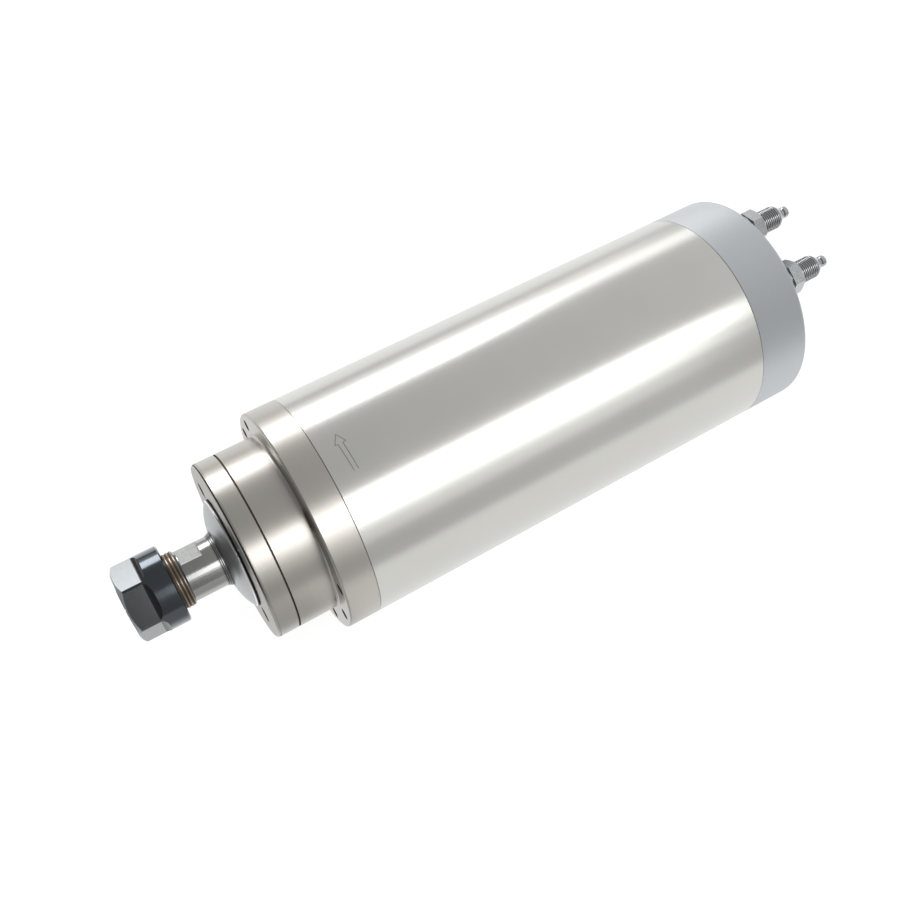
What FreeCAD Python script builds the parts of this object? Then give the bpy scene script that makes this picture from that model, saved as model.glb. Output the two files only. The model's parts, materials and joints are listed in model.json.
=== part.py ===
import FreeCAD, Part
import math
import os

import Sketcher

# Motor spindle, water cooled, with a collet nose. Millimetres.
# The axis lies along X with the tool end towards -X, and +Z is up.
# The origin is where the axis meets the front face of the large body diameter.

DOC = FreeCAD.newDocument("MotorSpindle")


# Driving sizes, each one a cell of the sheet

SIZES = {
    # casing
    "body_r": 50.0,
    "nose_r": 40.0,
    "cap_front": -28.0,
    "cap_seam": -17.9,
    "flange_front": 0.0,
    "seam_front": 14.1,
    "seam_rear": 211.6,
    "cover_rear": 236.9,
    "sleeve_bore_r": 46.5,
    "seam_groove_half": 0.4,
    "seam_groove_depth": 1.0,
    "fine_break": 0.2,
    "cap_round": 1.4,
    "edge_groove_width": 0.3,
    "edge_groove_depth": 0.35,
    "flange_round": 0.8,
    "root_round": 1.0,
    "cover_round": 1.8,
    "location_gap": 0.02,
    # front housing and cap
    "housing_spigot_end": 26.0,
    "housing_cavity_r": 36.0,
    "housing_web_rear": 16.0,
    "shoulder_bore_r": 20.8,
    "cap_bore_r": 14.9,
    "cap_relief_r": 19.5,
    "cap_relief_front": -19.5,
    "cap_screw_pitch_r": 29.0,
    "cap_screw_angle": 25.0,
    "cap_screw_way_r": 2.2,
    "cap_sink_r": 3.6,
    "cap_sink_depth": 4.6,
    "cap_tapping_r": 2.03,
    "cap_tapping_depth": 10.0,
    "flange_hole_r": 2.5,
    "flange_hole_pitch_r": 45.0,
    "flange_hole_depth": 12.0,
    "flange_hole_angle": 15.0,
    "jacking_angle_far": 35.0,
    "jacking_angle_near": 226.0,
    # water jacket
    "jacket_rear": 196.0,
    "jacket_bore_r": 37.0,
    "channel_floor_r": 42.0,
    "channel_first": 40.0,
    "channel_width": 16.0,
    "channel_pitch": 24.0,
    "channel_sweep": 348.0,
    "manifold_sweep": 10.0,
    "seal_half_width": 1.2,
    "seal_groove_half": 1.35,
    "seal_groove_floor_r": 44.2,
    "seal_inset": 5.0,
    # motor
    "stator_front": 60.0,
    "stator_rear": 160.0,
    "stator_bore_r": 20.5,
    "slot_floor_r": 31.0,
    "slot_width": 3.0,
    "winding_reach": 18.0,
    "winding_inner_r": 23.5,
    "winding_outer_r": 34.5,
    "winding_slack": 0.1,
    "rotor_r": 20.1,
    "rotor_seat_r": 12.2,
    "end_ring_outer_r": 19.4,
    "end_ring_inner_r": 14.0,
    "end_ring_width": 6.0,
    # front bearings, 25 x 47 x 12
    "front_bearing_x": -15.0,
    "front_bearing_width": 12.0,
    "front_spacer_width": 2.0,
    "front_bore_r": 12.5,
    "front_outer_r": 23.5,
    "front_pitch_r": 18.0,
    "front_ball_r": 3.1,
    "front_land_step": 2.4,
    # rear bearings, 17 x 35 x 10
    "rear_bearing_x": 187.0,
    "rear_bearing_width": 10.0,
    "rear_bore_r": 8.5,
    "rear_outer_r": 17.5,
    "rear_pitch_r": 13.0,
    "rear_ball_r": 2.3,
    "rear_land_step": 1.8,
    "race_gap": 0.1,
    "spring_thick": 0.8,
    "spring_inner_gap": 0.6,
    "spring_outer_gap": 0.3,
    # rear housing and cover
    "hub_front": 182.0,
    "hub_r": 24.0,
    "hub_bore_r": 13.4,
    "spring_seat": 184.5,
    "rear_plate_rear": 208.0,
    "cover_cavity_r": 36.0,
    "cover_wall": 7.9,
    "cover_screw_pitch_r": 43.0,
    "cover_screw_angle": 12.75,
    "cover_screw_way_r": 2.7,
    "cover_sink_r": 4.5,
    "cover_sink_depth": 5.6,
    "cover_tapping_r": 2.53,
    "cover_tapping_depth": 10.0,
    # water fittings
    "fitting_pitch_r": 42.0,
    "fitting_mid_angle": 102.75,
    "fitting_half_angle": 20.25,
    "fitting_roll_one": 17.0,
    "fitting_roll_two": 61.5,
    "fitting_across_flats": 14.0,
    "fitting_crown_r": 7.2,
    "fitting_crown_angle": 30.0,
    "washer_thick": 1.0,
    "washer_r": 6.6,
    "stud_r": 4.7,
    "stud_depth": 8.5,
    "port_r": 2.0,
    "fitting_hex_end": 6.6,
    "fitting_thread_r": 5.0,
    "fitting_thread_length": 10.7,
    "fitting_cone": 2.7,
    "fitting_cone_end_r": 3.1,
    "nipple_neck_r": 2.1,
    "nipple_neck_length": 1.4,
    "barb_r": 2.6,
    "barb_step": 0.6,
    "barb_length": 1.6,
    "nipple_tip_r": 2.3,
    "nipple_tip_end": 17.4,
    "nipple_end": 17.6,
    "fitting_bore_r": 1.5,
    # power connector
    "connector_y": 4.4,
    "connector_z": -19.5,
    "connector_flange_half": 12.0,
    "connector_flange_thick": 2.5,
    "connector_step_r": 9.9,
    "connector_step_height": 2.0,
    "connector_barrel_r": 9.5,
    "connector_barrel_edge": 0.6,
    "connector_barrel_end": 14.0,
    "connector_bore_r": 7.5,
    "connector_inside_depth": 5.0,
    "connector_wall": 1.0,
    "connector_way_gap": 0.2,
    "connector_hole_half": 9.0,
    "connector_hole_r": 1.4,
    "connector_tapping_r": 1.28,
    "connector_tapping_depth": 6.0,
    "insert_recess": 1.5,
    "contact_pitch_r": 4.2,
    "contact_r": 1.6,
    "contact_bore_r": 1.0,
    "contact_bore_depth": 10.0,
    "contact_tail": 3.0,
    # shaft
    "shaft_front": -68.0,
    "shaft_rear": 214.5,
    "shaft_edge": 0.8,
    "thread_r": 12.0,
    "thread_rear": -50.6,
    "thread_runout": 0.9,
    "neck_r": 11.2,
    "neck_ring_front": -35.7,
    "neck_ring_pitch": 0.75,
    "neck_ring_width": 0.4,
    "neck_ring_step": 0.3,
    "flat_front": -49.4,
    "flat_rear": -40.2,
    "flat_across": 19.0,
    "flat_normal_angle": 62.5,
    "seat_front": -33.5,
    "seat_edge": 0.1,
    "slinger_seat_r": 12.9,
    "collar_front": -27.0,
    "collar_r": 14.5,
    "shaft_bore_r": 6.5,
    "shaft_bore_end": -22.0,
    "drill_point": 3.0,
    "lock_nut_width": 6.0,
    "hook_slot_half": 2.0,
    "hook_slot_depth": 1.8,
    "front_lock_nut_r": 18.0,
    "rear_lock_nut_r": 13.0,
    # slinger
    "slinger_front": -33.3,
    "slinger_hub_r": 14.0,
    "slinger_dome_r": 25.0,
    "slinger_dome_rear": -29.5,
    "slinger_edge": 0.5,
    "slinger_r": 24.6,
    "slinger_rear": -28.4,
    "slinger_dish": 1.0,
    "slinger_dish_outer_r": 22.3,
    "slinger_dish_inner_r": 15.7,
    "slinger_hub_gap": 0.1,
    # collet and nut
    "collet_front": -76.2,
    "collet_length": 31.5,
    "collet_r": 10.5,
    "collet_taper": 8.0,
    "collet_taper_front": -71.2,
    "collet_cone_length": 1.9,
    "collet_cone_step": 1.1,
    "collet_rim_step": 0.4,
    "collet_groove_width": 2.5,
    "collet_groove_r": 8.9,
    "collet_bore_r": 6.0,
    "collet_slot_width": 0.7,
    "collet_slot_turn": 7.5,
    "collet_bridge": 4.0,
    "taper_gap": 0.05,
    "taper_end_gap": 0.6,
    "nut_front": -75.8,
    "nut_rear": -54.8,
    "nut_r": 17.0,
    "nut_face_r": 14.3,
    "nut_face_chamfer": 1.7,
    "nut_edge": 0.6,
    "nut_across_flats": 30.0,
    "nut_flat_end": -66.0,
    "nut_cutter_r": 2.7,
    "nut_thread_r": 12.1,
    "nut_thread_relief": 1.2,
    "nut_bore_gap": 0.5,
    "nut_lip_width": 1.9,
    "nut_lip_gap": 0.3,
    "nut_cone_gap": 0.1,
    "nut_roll": -19.0,
}

# How far a cutting sketch stands clear of the surface that it cuts
OVERCUT = 1.0

SLOT_COUNT = 24
CHANNEL_COUNT = 6
COLLET_SLOTS = 6
SCREW_COUNT = 4
NECK_RINGS = 3


class Dim:
    """A size that keeps its number and the sheet expression that gives it."""

    def __init__(self, value, text):
        self.value = value
        self.text = text

    def combined(self, other, sign, value):
        other_text = other.text if isinstance(other, Dim) else "%.6f" % other
        return Dim(value, "(%s %s %s)" % (self.text, sign, other_text))

    def __add__(self, other):
        return self.combined(other, "+", self.value + number(other))

    def __sub__(self, other):
        return self.combined(other, "-", self.value - number(other))

    def __mul__(self, other):
        return self.combined(other, "*", self.value * number(other))

    def __truediv__(self, other):
        return self.combined(other, "/", self.value / number(other))


def number(size):
    return size.value if isinstance(size, Dim) else float(size)


def fixed(value):
    return Dim(float(value), "%.6f" % value)


def cosine(angle):
    return Dim(math.cos(math.radians(angle.value)), "cos(%s)" % angle.text)


def sine(angle):
    return Dim(math.sin(math.radians(angle.value)), "sin(%s)" % angle.text)


def tangent(angle):
    return Dim(math.tan(math.radians(angle.value)), "tan(%s)" % angle.text)


def fill_sheet():
    sheet = DOC.addObject("Spreadsheet::Sheet", "Sizes")
    for row, (alias, value) in enumerate(SIZES.items(), start=1):
        sheet.set("A%d" % row, alias)
        sheet.set("B%d" % row, "%g" % value)
        sheet.setAlias("B%d" % row, alias)
    DOC.recompute()
    return sheet


SHEET = fill_sheet()


def size(alias):
    return Dim(float(SHEET.get(alias)), "Sizes.%s" % alias)


# Sketches and features

def origin_feature(body, role):
    for feature in body.Origin.OriginFeatures:
        if feature.Role == role:
            return feature
    raise RuntimeError("no origin feature " + role)


def new_body(label):
    body = DOC.addObject("PartDesign::Body", label)
    body.Label = label
    return body


def new_sketch(body, name, plane, offset=None, turn=0.0):
    """A sketch on one of the body's planes, moved along the plane's normal or turned about X."""
    sketch = body.newObject("Sketcher::SketchObject", name)
    sketch.AttachmentSupport = (origin_feature(body, plane), [""])
    sketch.MapMode = "FlatFace"
    sketch.AttachmentOffset = FreeCAD.Placement(
        FreeCAD.Vector(0, 0, number(offset) if offset else 0),
        FreeCAD.Rotation(FreeCAD.Vector(1, 0, 0), number(turn)),
    )
    if offset:
        sketch.setExpression("AttachmentOffset.Base.z", offset.text)
    return sketch


def bind(sketch, kind, elements, dim, name):
    index = sketch.addConstraint(Sketcher.Constraint(kind, *elements, number(dim)))
    sketch.renameConstraint(index, name)
    if isinstance(dim, Dim):
        sketch.setExpression("Constraints." + name, dim.text)


def arc_between(start, end, radius):
    """The shorter arc from start to end; a positive radius has its centre on the left of the way."""
    chord = end - start
    middle = (start + end) * 0.5
    left = FreeCAD.Vector(-chord.y, chord.x, 0).normalize()
    reach = math.sqrt(max(radius * radius - chord.Length ** 2 / 4, 0))
    centre = middle + left * math.copysign(reach, radius)
    first = math.atan2(start.y - centre.y, start.x - centre.x)
    last = math.atan2(end.y - centre.y, end.x - centre.x)
    circle = Part.Circle(centre, FreeCAD.Vector(0, 0, 1), abs(radius))
    if (last - first) % (2 * math.pi) <= math.pi:
        return Part.ArcOfCircle(circle, first, last), 1, 2
    return Part.ArcOfCircle(circle, last, first), 2, 1


def draw_loop(sketch, corners, tag=""):
    """A closed loop through the corners. A third value makes the side that follows an arc."""
    points = [FreeCAD.Vector(number(c[0]), number(c[1]), 0) for c in corners]
    sides = []
    for index, corner in enumerate(corners):
        start = points[index]
        end = points[(index + 1) % len(points)]
        if len(corner) == 3:
            curve, first, last = arc_between(start, end, number(corner[2]))
        else:
            curve, first, last = Part.LineSegment(start, end), 1, 2
        sides.append((sketch.addGeometry(curve), first, last))
    for index, corner in enumerate(corners):
        side, first, last = sides[index]
        next_side, next_first, _ = sides[(index + 1) % len(sides)]
        sketch.addConstraint(Sketcher.Constraint("Coincident", side, last, next_side, next_first))
        bind(sketch, "DistanceX", (-1, 1, side, first), corner[0], "%sx%d" % (tag, index))
        bind(sketch, "DistanceY", (-1, 1, side, first), corner[1], "%sy%d" % (tag, index))
        if len(corner) == 3:
            radius = corner[2]
            if radius.value < 0:
                radius = radius * -1
            bind(sketch, "Radius", (side,), radius, "%sr%d" % (tag, index))


def draw_circle(sketch, across, up, radius, tag=""):
    centre = FreeCAD.Vector(number(across), number(up), 0)
    circle = sketch.addGeometry(Part.Circle(centre, FreeCAD.Vector(0, 0, 1), number(radius)))
    bind(sketch, "DistanceX", (-1, 1, circle, 3), across, tag + "across")
    bind(sketch, "DistanceY", (-1, 1, circle, 3), up, tag + "up")
    bind(sketch, "Radius", (circle,), radius, tag + "radius")


def turned(label, corners):
    """A solid of revolution about X from corners of (x, radius)."""
    body = new_body(label)
    sketch = new_sketch(body, label + "_outline", "XY_Plane")
    draw_loop(sketch, corners)
    feature = body.newObject("PartDesign::Revolution", label + "_turned")
    feature.Profile = sketch
    feature.ReferenceAxis = (sketch, ["H_Axis"])
    feature.Angle = 360
    sketch.Visibility = False
    return body


def pocket(body, name, sketch, depth, towards_x=False, midplane=False):
    feature = body.newObject("PartDesign::Pocket", name)
    feature.Profile = sketch
    feature.Type = 0
    feature.Midplane = midplane
    feature.Reversed = towards_x
    feature.Length = number(depth)
    feature.setExpression("Length", depth.text)
    return feature


def pad(body, name, sketch, depth):
    feature = body.newObject("PartDesign::Pad", name)
    feature.Profile = sketch
    feature.Type = 0
    feature.Length = number(depth)
    feature.setExpression("Length", depth.text)
    return feature


def repeated(body, name, feature, count):
    """The feature repeated evenly about the X axis."""
    pattern = body.newObject("PartDesign::PolarPattern", name)
    pattern.Originals = [feature]
    pattern.Axis = (origin_feature(body, "X_Axis"), [""])
    pattern.Angle = 360
    pattern.Occurrences = count
    body.Tip = pattern
    return pattern


def drill(body, name, face, depth, across, up, radius, towards_x):
    """A round hole square to X, from the plane at face."""
    sketch = new_sketch(body, name + "_plan", "YZ_Plane", offset=face)
    draw_circle(sketch, across, up, radius)
    return pocket(body, name, sketch, depth, towards_x=towards_x)


def on_circle(pitch_r, angle):
    return pitch_r * cosine(angle), pitch_r * sine(angle)


def roll(body, angle):
    """Turns the finished sub-part about X."""
    body.Placement = FreeCAD.Placement(
        FreeCAD.Vector(0, 0, 0), FreeCAD.Rotation(FreeCAD.Vector(1, 0, 0), number(angle))
    )
    body.setExpression("Placement.Rotation.Angle", angle.text)


def shift(body, across, up):
    """Moves the finished sub-part off the X axis."""
    body.Placement = FreeCAD.Placement(
        FreeCAD.Vector(0, number(across), number(up)), FreeCAD.Rotation()
    )
    body.setExpression("Placement.Base.y", across.text)
    body.setExpression("Placement.Base.z", up.text)


def group(label, solids):
    """Separate equal solids that share one name."""
    feature = DOC.addObject("Part::Feature", label)
    feature.Label = label
    feature.Shape = Part.makeCompound(solids)
    feature.Placement = FreeCAD.Placement()
    return feature


def spun_copies(shape, count, start_angle=0.0):
    """Copies of a shape spread evenly about the X axis."""
    copies = []
    for index in range(count):
        copy = shape.copy()
        copy.rotate(
            FreeCAD.Vector(0, 0, 0), FreeCAD.Vector(1, 0, 0), start_angle + 360.0 * index / count
        )
        copies.append(copy)
    return copies


def tube(front, rear, inner_r, outer_r):
    """A plain ring about X, from plain numbers."""
    along = FreeCAD.Vector(1, 0, 0)
    base = FreeCAD.Vector(front, 0, 0)
    outer = Part.makeCylinder(outer_r, rear - front, base, along)
    return outer.cut(Part.makeCylinder(inner_r, rear - front, base, along))


# Casing

def front_housing():
    """Nose, flange and front bearing seat, turned from one bar."""
    face = size("flange_front")
    seam = size("cap_seam")
    groove_end = seam + size("seam_groove_half")
    nose = size("nose_r")
    groove_r = nose - size("seam_groove_depth")
    body_r = size("body_r")
    fine = size("fine_break")
    root_r = size("root_round")
    edge = size("flange_round")
    spigot_r = size("sleeve_bore_r") - size("location_gap")
    shoulder = size("front_bearing_x") + size("front_bearing_width") * 2 + size("front_spacer_width")
    body = turned("front_housing", [
        (seam, size("front_outer_r")),
        (seam, groove_r),
        (groove_end, groove_r),
        (groove_end, nose),
        (face - root_r, nose, root_r),
        (face, nose + root_r),
        (face, body_r - edge, edge * -1),
        (face + edge, body_r),
        (size("seam_front") - fine, body_r),
        (size("seam_front"), body_r - fine),
        (size("seam_front"), spigot_r),
        (size("housing_spigot_end"), spigot_r),
        (size("housing_spigot_end"), size("housing_cavity_r")),
        (size("housing_web_rear"), size("housing_cavity_r")),
        (size("housing_web_rear"), size("shoulder_bore_r")),
        (shoulder, size("shoulder_bore_r")),
        (shoulder, size("front_outer_r")),
    ])
    pitch = size("flange_hole_pitch_r")
    lean = size("flange_hole_angle")
    depth = size("flange_hole_depth")
    hole_r = size("flange_hole_r")
    for index, (side, lift) in enumerate(((1, 1), (-1, 1), (-1, -1), (1, -1))):
        across, up = pitch * cosine(lean) * side, pitch * sine(lean) * lift
        drill(body, "flange_hole_%d" % index, face, depth, across, up, hole_r, True)
    for name in ("jacking_angle_far", "jacking_angle_near"):
        across, up = on_circle(pitch, size(name))
        drill(body, name + "_hole", face, depth, across, up, hole_r, True)
    across, up = on_circle(size("cap_screw_pitch_r"), size("cap_screw_angle"))
    tapped = drill(body, "cap_tapping", seam, size("cap_tapping_depth"), across, up,
                   size("cap_tapping_r"), True)
    repeated(body, "cap_tappings", tapped, SCREW_COUNT)
    return body


def front_bearing_cap():
    """Cover on the nose that clamps the front bearings and guides the shaft collar."""
    front = size("cap_front")
    seam = size("cap_seam")
    groove_front = seam - size("seam_groove_half")
    nose = size("nose_r")
    groove_r = nose - size("seam_groove_depth")
    edge = size("cap_round")
    edge_end = front + edge + size("edge_groove_width")
    edge_floor_r = nose - size("edge_groove_depth")
    body = turned("front_bearing_cap", [
        (front, size("cap_bore_r")),
        (front, nose - edge, edge * -1),
        (front + edge, nose),
        (front + edge, edge_floor_r),
        (edge_end, edge_floor_r),
        (edge_end, nose),
        (groove_front, nose),
        (groove_front, groove_r),
        (seam, groove_r),
        (seam, size("front_outer_r") - size("location_gap")),
        (size("front_bearing_x"), size("front_outer_r") - size("location_gap")),
        (size("front_bearing_x"), size("shoulder_bore_r")),
        (size("cap_relief_front"), size("cap_relief_r")),
        (size("cap_relief_front"), size("cap_bore_r")),
    ])
    across, up = on_circle(size("cap_screw_pitch_r"), size("cap_screw_angle"))
    through = drill(body, "screw_way", front, seam - front + OVERCUT, across, up,
                    size("cap_screw_way_r"), True)
    repeated(body, "screw_ways", through, SCREW_COUNT)
    sink = drill(body, "head_sink", front, size("cap_sink_depth"), across, up, size("cap_sink_r"), True)
    repeated(body, "head_sinks", sink, SCREW_COUNT)
    return body


def socket_screw(label, head_r, head_height, shank_r, shank_length, key_across):
    """A socket head screw along X with the head's seat at x = 0 and the head towards -X."""
    edge = 0.3
    point = 0.6
    socket_depth = head_height * 0.55
    body = turned(label, [
        (fixed(-head_height), fixed(0)),
        (fixed(-head_height), fixed(head_r - edge)),
        (fixed(-head_height + edge), fixed(head_r)),
        (fixed(0), fixed(head_r)),
        (fixed(0), fixed(shank_r)),
        (fixed(shank_length - point), fixed(shank_r)),
        (fixed(shank_length), fixed(shank_r - point)),
        (fixed(shank_length), fixed(0)),
    ])
    sketch = new_sketch(body, label + "_key", "YZ_Plane", offset=fixed(-head_height))
    draw_loop(sketch, hexagon(fixed(key_across), fixed(0)))
    pocket(body, label + "_socket", sketch, fixed(socket_depth), towards_x=True)
    return body


def hexagon(across_flats, turn):
    """Six corners of a hexagon; a flat's normal lies at the turn angle."""
    corner_r = across_flats / 2 / math.cos(math.radians(30))
    corners = []
    for index in range(6):
        angle = turn + 30 + 60 * index
        corners.append((corner_r * cosine(angle), corner_r * sine(angle)))
    return corners


def placed(shape, base, flip=False):
    """A copy of a screw's shape moved to its seat, turned end for end where asked."""
    copy = shape.copy()
    if flip:
        copy.rotate(FreeCAD.Vector(0, 0, 0), FreeCAD.Vector(0, 0, 1), 180)
    copy.translate(base)
    return copy


def body_sleeve():
    """Ground outer tube that a round clamp grips."""
    fine = size("fine_break")
    body_r = size("body_r")
    bore = size("sleeve_bore_r")
    return turned("body_sleeve", [
        (size("seam_front"), bore),
        (size("seam_front"), body_r - fine),
        (size("seam_front") + fine, body_r),
        (size("seam_rear") - fine, body_r),
        (size("seam_rear"), body_r - fine),
        (size("seam_rear"), bore),
    ])


def water_jacket():
    """Cooling tube with ring channels between two lengthwise manifolds and a rib between them."""
    front = size("housing_spigot_end")
    rear = size("jacket_rear")
    outer = size("sleeve_bore_r") - size("location_gap")
    floor = size("seal_groove_floor_r")
    half = size("seal_groove_half")
    front_seal = front + size("seal_inset")
    rear_seal = rear - size("seal_inset")
    body = turned("water_jacket", [
        (front, size("jacket_bore_r")),
        (front, outer),
        (front_seal - half, outer),
        (front_seal - half, floor),
        (front_seal + half, floor),
        (front_seal + half, outer),
        (rear_seal - half, outer),
        (rear_seal - half, floor),
        (rear_seal + half, floor),
        (rear_seal + half, outer),
        (rear, outer),
        (rear, size("jacket_bore_r")),
    ])
    deep = size("channel_floor_r")
    brim = size("body_r")
    rings = new_sketch(body, "channel_rings", "XY_Plane")
    for index in range(CHANNEL_COUNT):
        start = size("channel_first") + size("channel_pitch") * index
        end = start + size("channel_width")
        draw_loop(rings, [(start, deep), (start, brim), (end, brim), (end, deep)], "ring%d_" % index)
    carve(body, "channels", rings, size("channel_sweep"))
    last = size("channel_first") + size("channel_pitch") * (CHANNEL_COUNT - 1) + size("channel_width")
    for index, side in enumerate((-1, 1)):
        turn = size("fitting_half_angle") * side + 180
        manifold = new_sketch(body, "manifold_%d_outline" % index, "XY_Plane", turn=turn)
        start = size("channel_first")
        draw_loop(manifold, [(start, deep), (start, brim), (last, brim), (last, deep)])
        carve(body, "manifold_%d" % index, manifold, size("manifold_sweep"))
        across, up = on_circle(size("fitting_pitch_r"), turn)
        reach = rear - last + OVERCUT
        drill(body, "feed_%d" % index, rear, reach, across, up, size("port_r"), False)
    roll(body, size("fitting_mid_angle") - 180)
    return body


def carve(body, name, sketch, sweep):
    """Takes away the sketch swept about X, half the angle to each side."""
    feature = body.newObject("PartDesign::Groove", name)
    feature.Profile = sketch
    feature.ReferenceAxis = (sketch, ["H_Axis"])
    feature.Midplane = True
    feature.Angle = number(sweep)
    feature.setExpression("Angle", sweep.text)
    return feature


def jacket_seal_rings():
    """Rubber rings that close the water space at both ends of the jacket."""
    half = float(SHEET.get("seal_half_width"))
    slack = float(SHEET.get("location_gap"))
    inner = float(SHEET.get("seal_groove_floor_r")) + slack
    outer = float(SHEET.get("sleeve_bore_r")) - slack
    inset = float(SHEET.get("seal_inset"))
    front = float(SHEET.get("housing_spigot_end")) + inset
    rear = float(SHEET.get("jacket_rear")) - inset
    rings = [tube(middle - half, middle + half, inner, outer) for middle in (front, rear)]
    return group("jacket_seal_rings", rings)


# Motor

def stator_core():
    """Lamination stack with open slots."""
    body = turned("stator_core", [
        (size("stator_front"), size("stator_bore_r")),
        (size("stator_front"), size("jacket_bore_r") - size("location_gap")),
        (size("stator_rear"), size("jacket_bore_r") - size("location_gap")),
        (size("stator_rear"), size("stator_bore_r")),
    ])
    half = size("slot_width") / 2
    sketch = new_sketch(body, "slot_plan", "YZ_Plane", offset=size("stator_front"))
    low = size("stator_bore_r") - OVERCUT
    high = size("slot_floor_r")
    draw_loop(sketch, [(low, half * -1), (high, half * -1), (high, half), (low, half)])
    length = size("stator_rear") - size("stator_front")
    slot = pocket(body, "slot", sketch, length, towards_x=True)
    repeated(body, "slots", slot, SLOT_COUNT)
    return body


def stator_windings():
    """Copper: a bundle in each slot and the end turns that join them in front and behind."""
    front = float(SHEET.get("stator_front"))
    rear = float(SHEET.get("stator_rear"))
    slack = float(SHEET.get("winding_slack"))
    reach = float(SHEET.get("winding_reach"))
    inner = float(SHEET.get("winding_inner_r"))
    outer = float(SHEET.get("winding_outer_r"))
    width = float(SHEET.get("slot_width")) - 2 * slack
    depth = float(SHEET.get("slot_floor_r")) - inner - slack
    corner = FreeCAD.Vector(front - slack, inner, -width / 2)
    bundle = Part.makeBox(rear - front + 2 * slack, depth, width, corner)
    ends = [
        tube(front - reach, front - slack, inner, outer),
        tube(rear + slack, rear + reach, inner, outer),
    ]
    return group("stator_windings", ends + spun_copies(bundle, SLOT_COUNT))


def rotor_core():
    return turned("rotor_core", [
        (size("stator_front"), size("rotor_seat_r") + size("location_gap")),
        (size("stator_front"), size("rotor_r")),
        (size("stator_rear"), size("rotor_r")),
        (size("stator_rear"), size("rotor_seat_r") + size("location_gap")),
    ])


def rotor_end_rings():
    """Cast rings that short the rotor bars at both ends."""
    width = float(SHEET.get("end_ring_width"))
    inner = float(SHEET.get("end_ring_inner_r"))
    outer = float(SHEET.get("end_ring_outer_r"))
    front = float(SHEET.get("stator_front"))
    rear = float(SHEET.get("stator_rear"))
    return group("rotor_end_rings", [
        tube(front - width, front, inner, outer),
        tube(rear, rear + width, inner, outer),
    ])


# Bearings

class Bearing:
    """Sizes of one bearing row, read from the sheet by its prefix."""

    def __init__(self, prefix, start):
        self.start = start
        self.width = size(prefix + "_bearing_width")
        self.middle = start + self.width / 2
        self.bore = size(prefix + "_bore_r")
        self.outer = size(prefix + "_outer_r")
        self.pitch = size(prefix + "_pitch_r")
        self.ball = size(prefix + "_ball_r")
        self.step = size(prefix + "_land_step")
        # The race and the ball set have eight-sided sections that run parallel to each other.
        self.race = self.ball + size("race_gap")
        self.race_floor = self.race * tangent(fixed(22.5))
        self.race_mouth = self.race + self.race_floor - self.step


def outer_ring(label, bearing):
    land = bearing.pitch + bearing.step
    floor = bearing.pitch + bearing.race
    end = bearing.start + bearing.width
    rim = bearing.outer - size("location_gap")
    return turned(label, [
        (bearing.start, land),
        (bearing.start, rim),
        (end, rim),
        (end, land),
        (bearing.middle + bearing.race_mouth, land),
        (bearing.middle + bearing.race_floor, floor),
        (bearing.middle - bearing.race_floor, floor),
        (bearing.middle - bearing.race_mouth, land),
    ])


def inner_ring(label, bearing):
    land = bearing.pitch - bearing.step
    floor = bearing.pitch - bearing.race
    end = bearing.start + bearing.width
    bore = bearing.bore + size("location_gap")
    return turned(label, [
        (bearing.start, bore),
        (bearing.start, land),
        (bearing.middle - bearing.race_mouth, land),
        (bearing.middle - bearing.race_floor, floor),
        (bearing.middle + bearing.race_floor, floor),
        (bearing.middle + bearing.race_mouth, land),
        (end, land),
        (end, bore),
    ])


def ball_set(bearing):
    """The path that a row of balls and its cage fills, as one closed ring."""
    long = bearing.ball.value
    short = long * math.tan(math.radians(22.5))
    points = []
    for across, up in ((long, short), (short, long), (-short, long), (-long, short),
                       (-long, -short), (-short, -long), (short, -long), (long, -short)):
        points.append(FreeCAD.Vector(bearing.middle.value + across, bearing.pitch.value + up, 0))
    section = Part.Face(Part.makePolygon(points + points[:1]))
    return section.revolve(FreeCAD.Vector(0, 0, 0), FreeCAD.Vector(1, 0, 0), 360)


def spacer(label, start, width, inner_r, outer_r):
    end = start + width
    return turned(label, [(start, inner_r), (start, outer_r), (end, outer_r), (end, inner_r)])


def slotted_nut(label, start, width, bore_r, outer_r):
    """A round lock nut with four hook spanner slots."""
    body = spacer(label, start, width, bore_r, outer_r)
    sketch = new_sketch(body, label + "_slot_plan", "YZ_Plane", offset=start)
    half = size("hook_slot_half")
    low = outer_r - size("hook_slot_depth")
    high = outer_r + OVERCUT
    draw_loop(sketch, [(low, half * -1), (high, half * -1), (high, half), (low, half)])
    slot = pocket(body, label + "_slot", sketch, width, towards_x=True)
    repeated(body, label + "_slots", slot, SCREW_COUNT)
    return body


def bearing_sets():
    gap = size("location_gap")
    first = Bearing("front", size("front_bearing_x"))
    spacer_start = first.start + first.width
    second = Bearing("front", spacer_start + size("front_spacer_width"))
    third = Bearing("rear", size("rear_bearing_x"))
    fourth = Bearing("rear", third.start + third.width)
    parts = []
    names = ("front_bearing_a", "front_bearing_b", "rear_bearing_a", "rear_bearing_b")
    for name, bearing in zip(names, (first, second, third, fourth)):
        parts.append(outer_ring(name + "_outer_ring", bearing))
        parts.append(inner_ring(name + "_inner_ring", bearing))
    width = size("front_spacer_width")
    parts.append(spacer("front_outer_spacer", spacer_start, width,
                        first.pitch + first.step, first.outer - gap))
    parts.append(spacer("front_inner_spacer", spacer_start, width,
                        first.bore + gap, first.pitch - first.step))
    parts.append(group("front_ball_sets", [ball_set(first), ball_set(second)]))
    parts.append(group("rear_ball_sets", [ball_set(third), ball_set(fourth)]))
    nut_width = size("lock_nut_width")
    parts.append(slotted_nut("front_lock_nut", second.start + second.width, nut_width,
                             first.bore + gap, size("front_lock_nut_r")))
    parts.append(slotted_nut("rear_lock_nut", fourth.start + fourth.width, nut_width,
                             third.bore + gap, size("rear_lock_nut_r")))
    return parts


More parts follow.
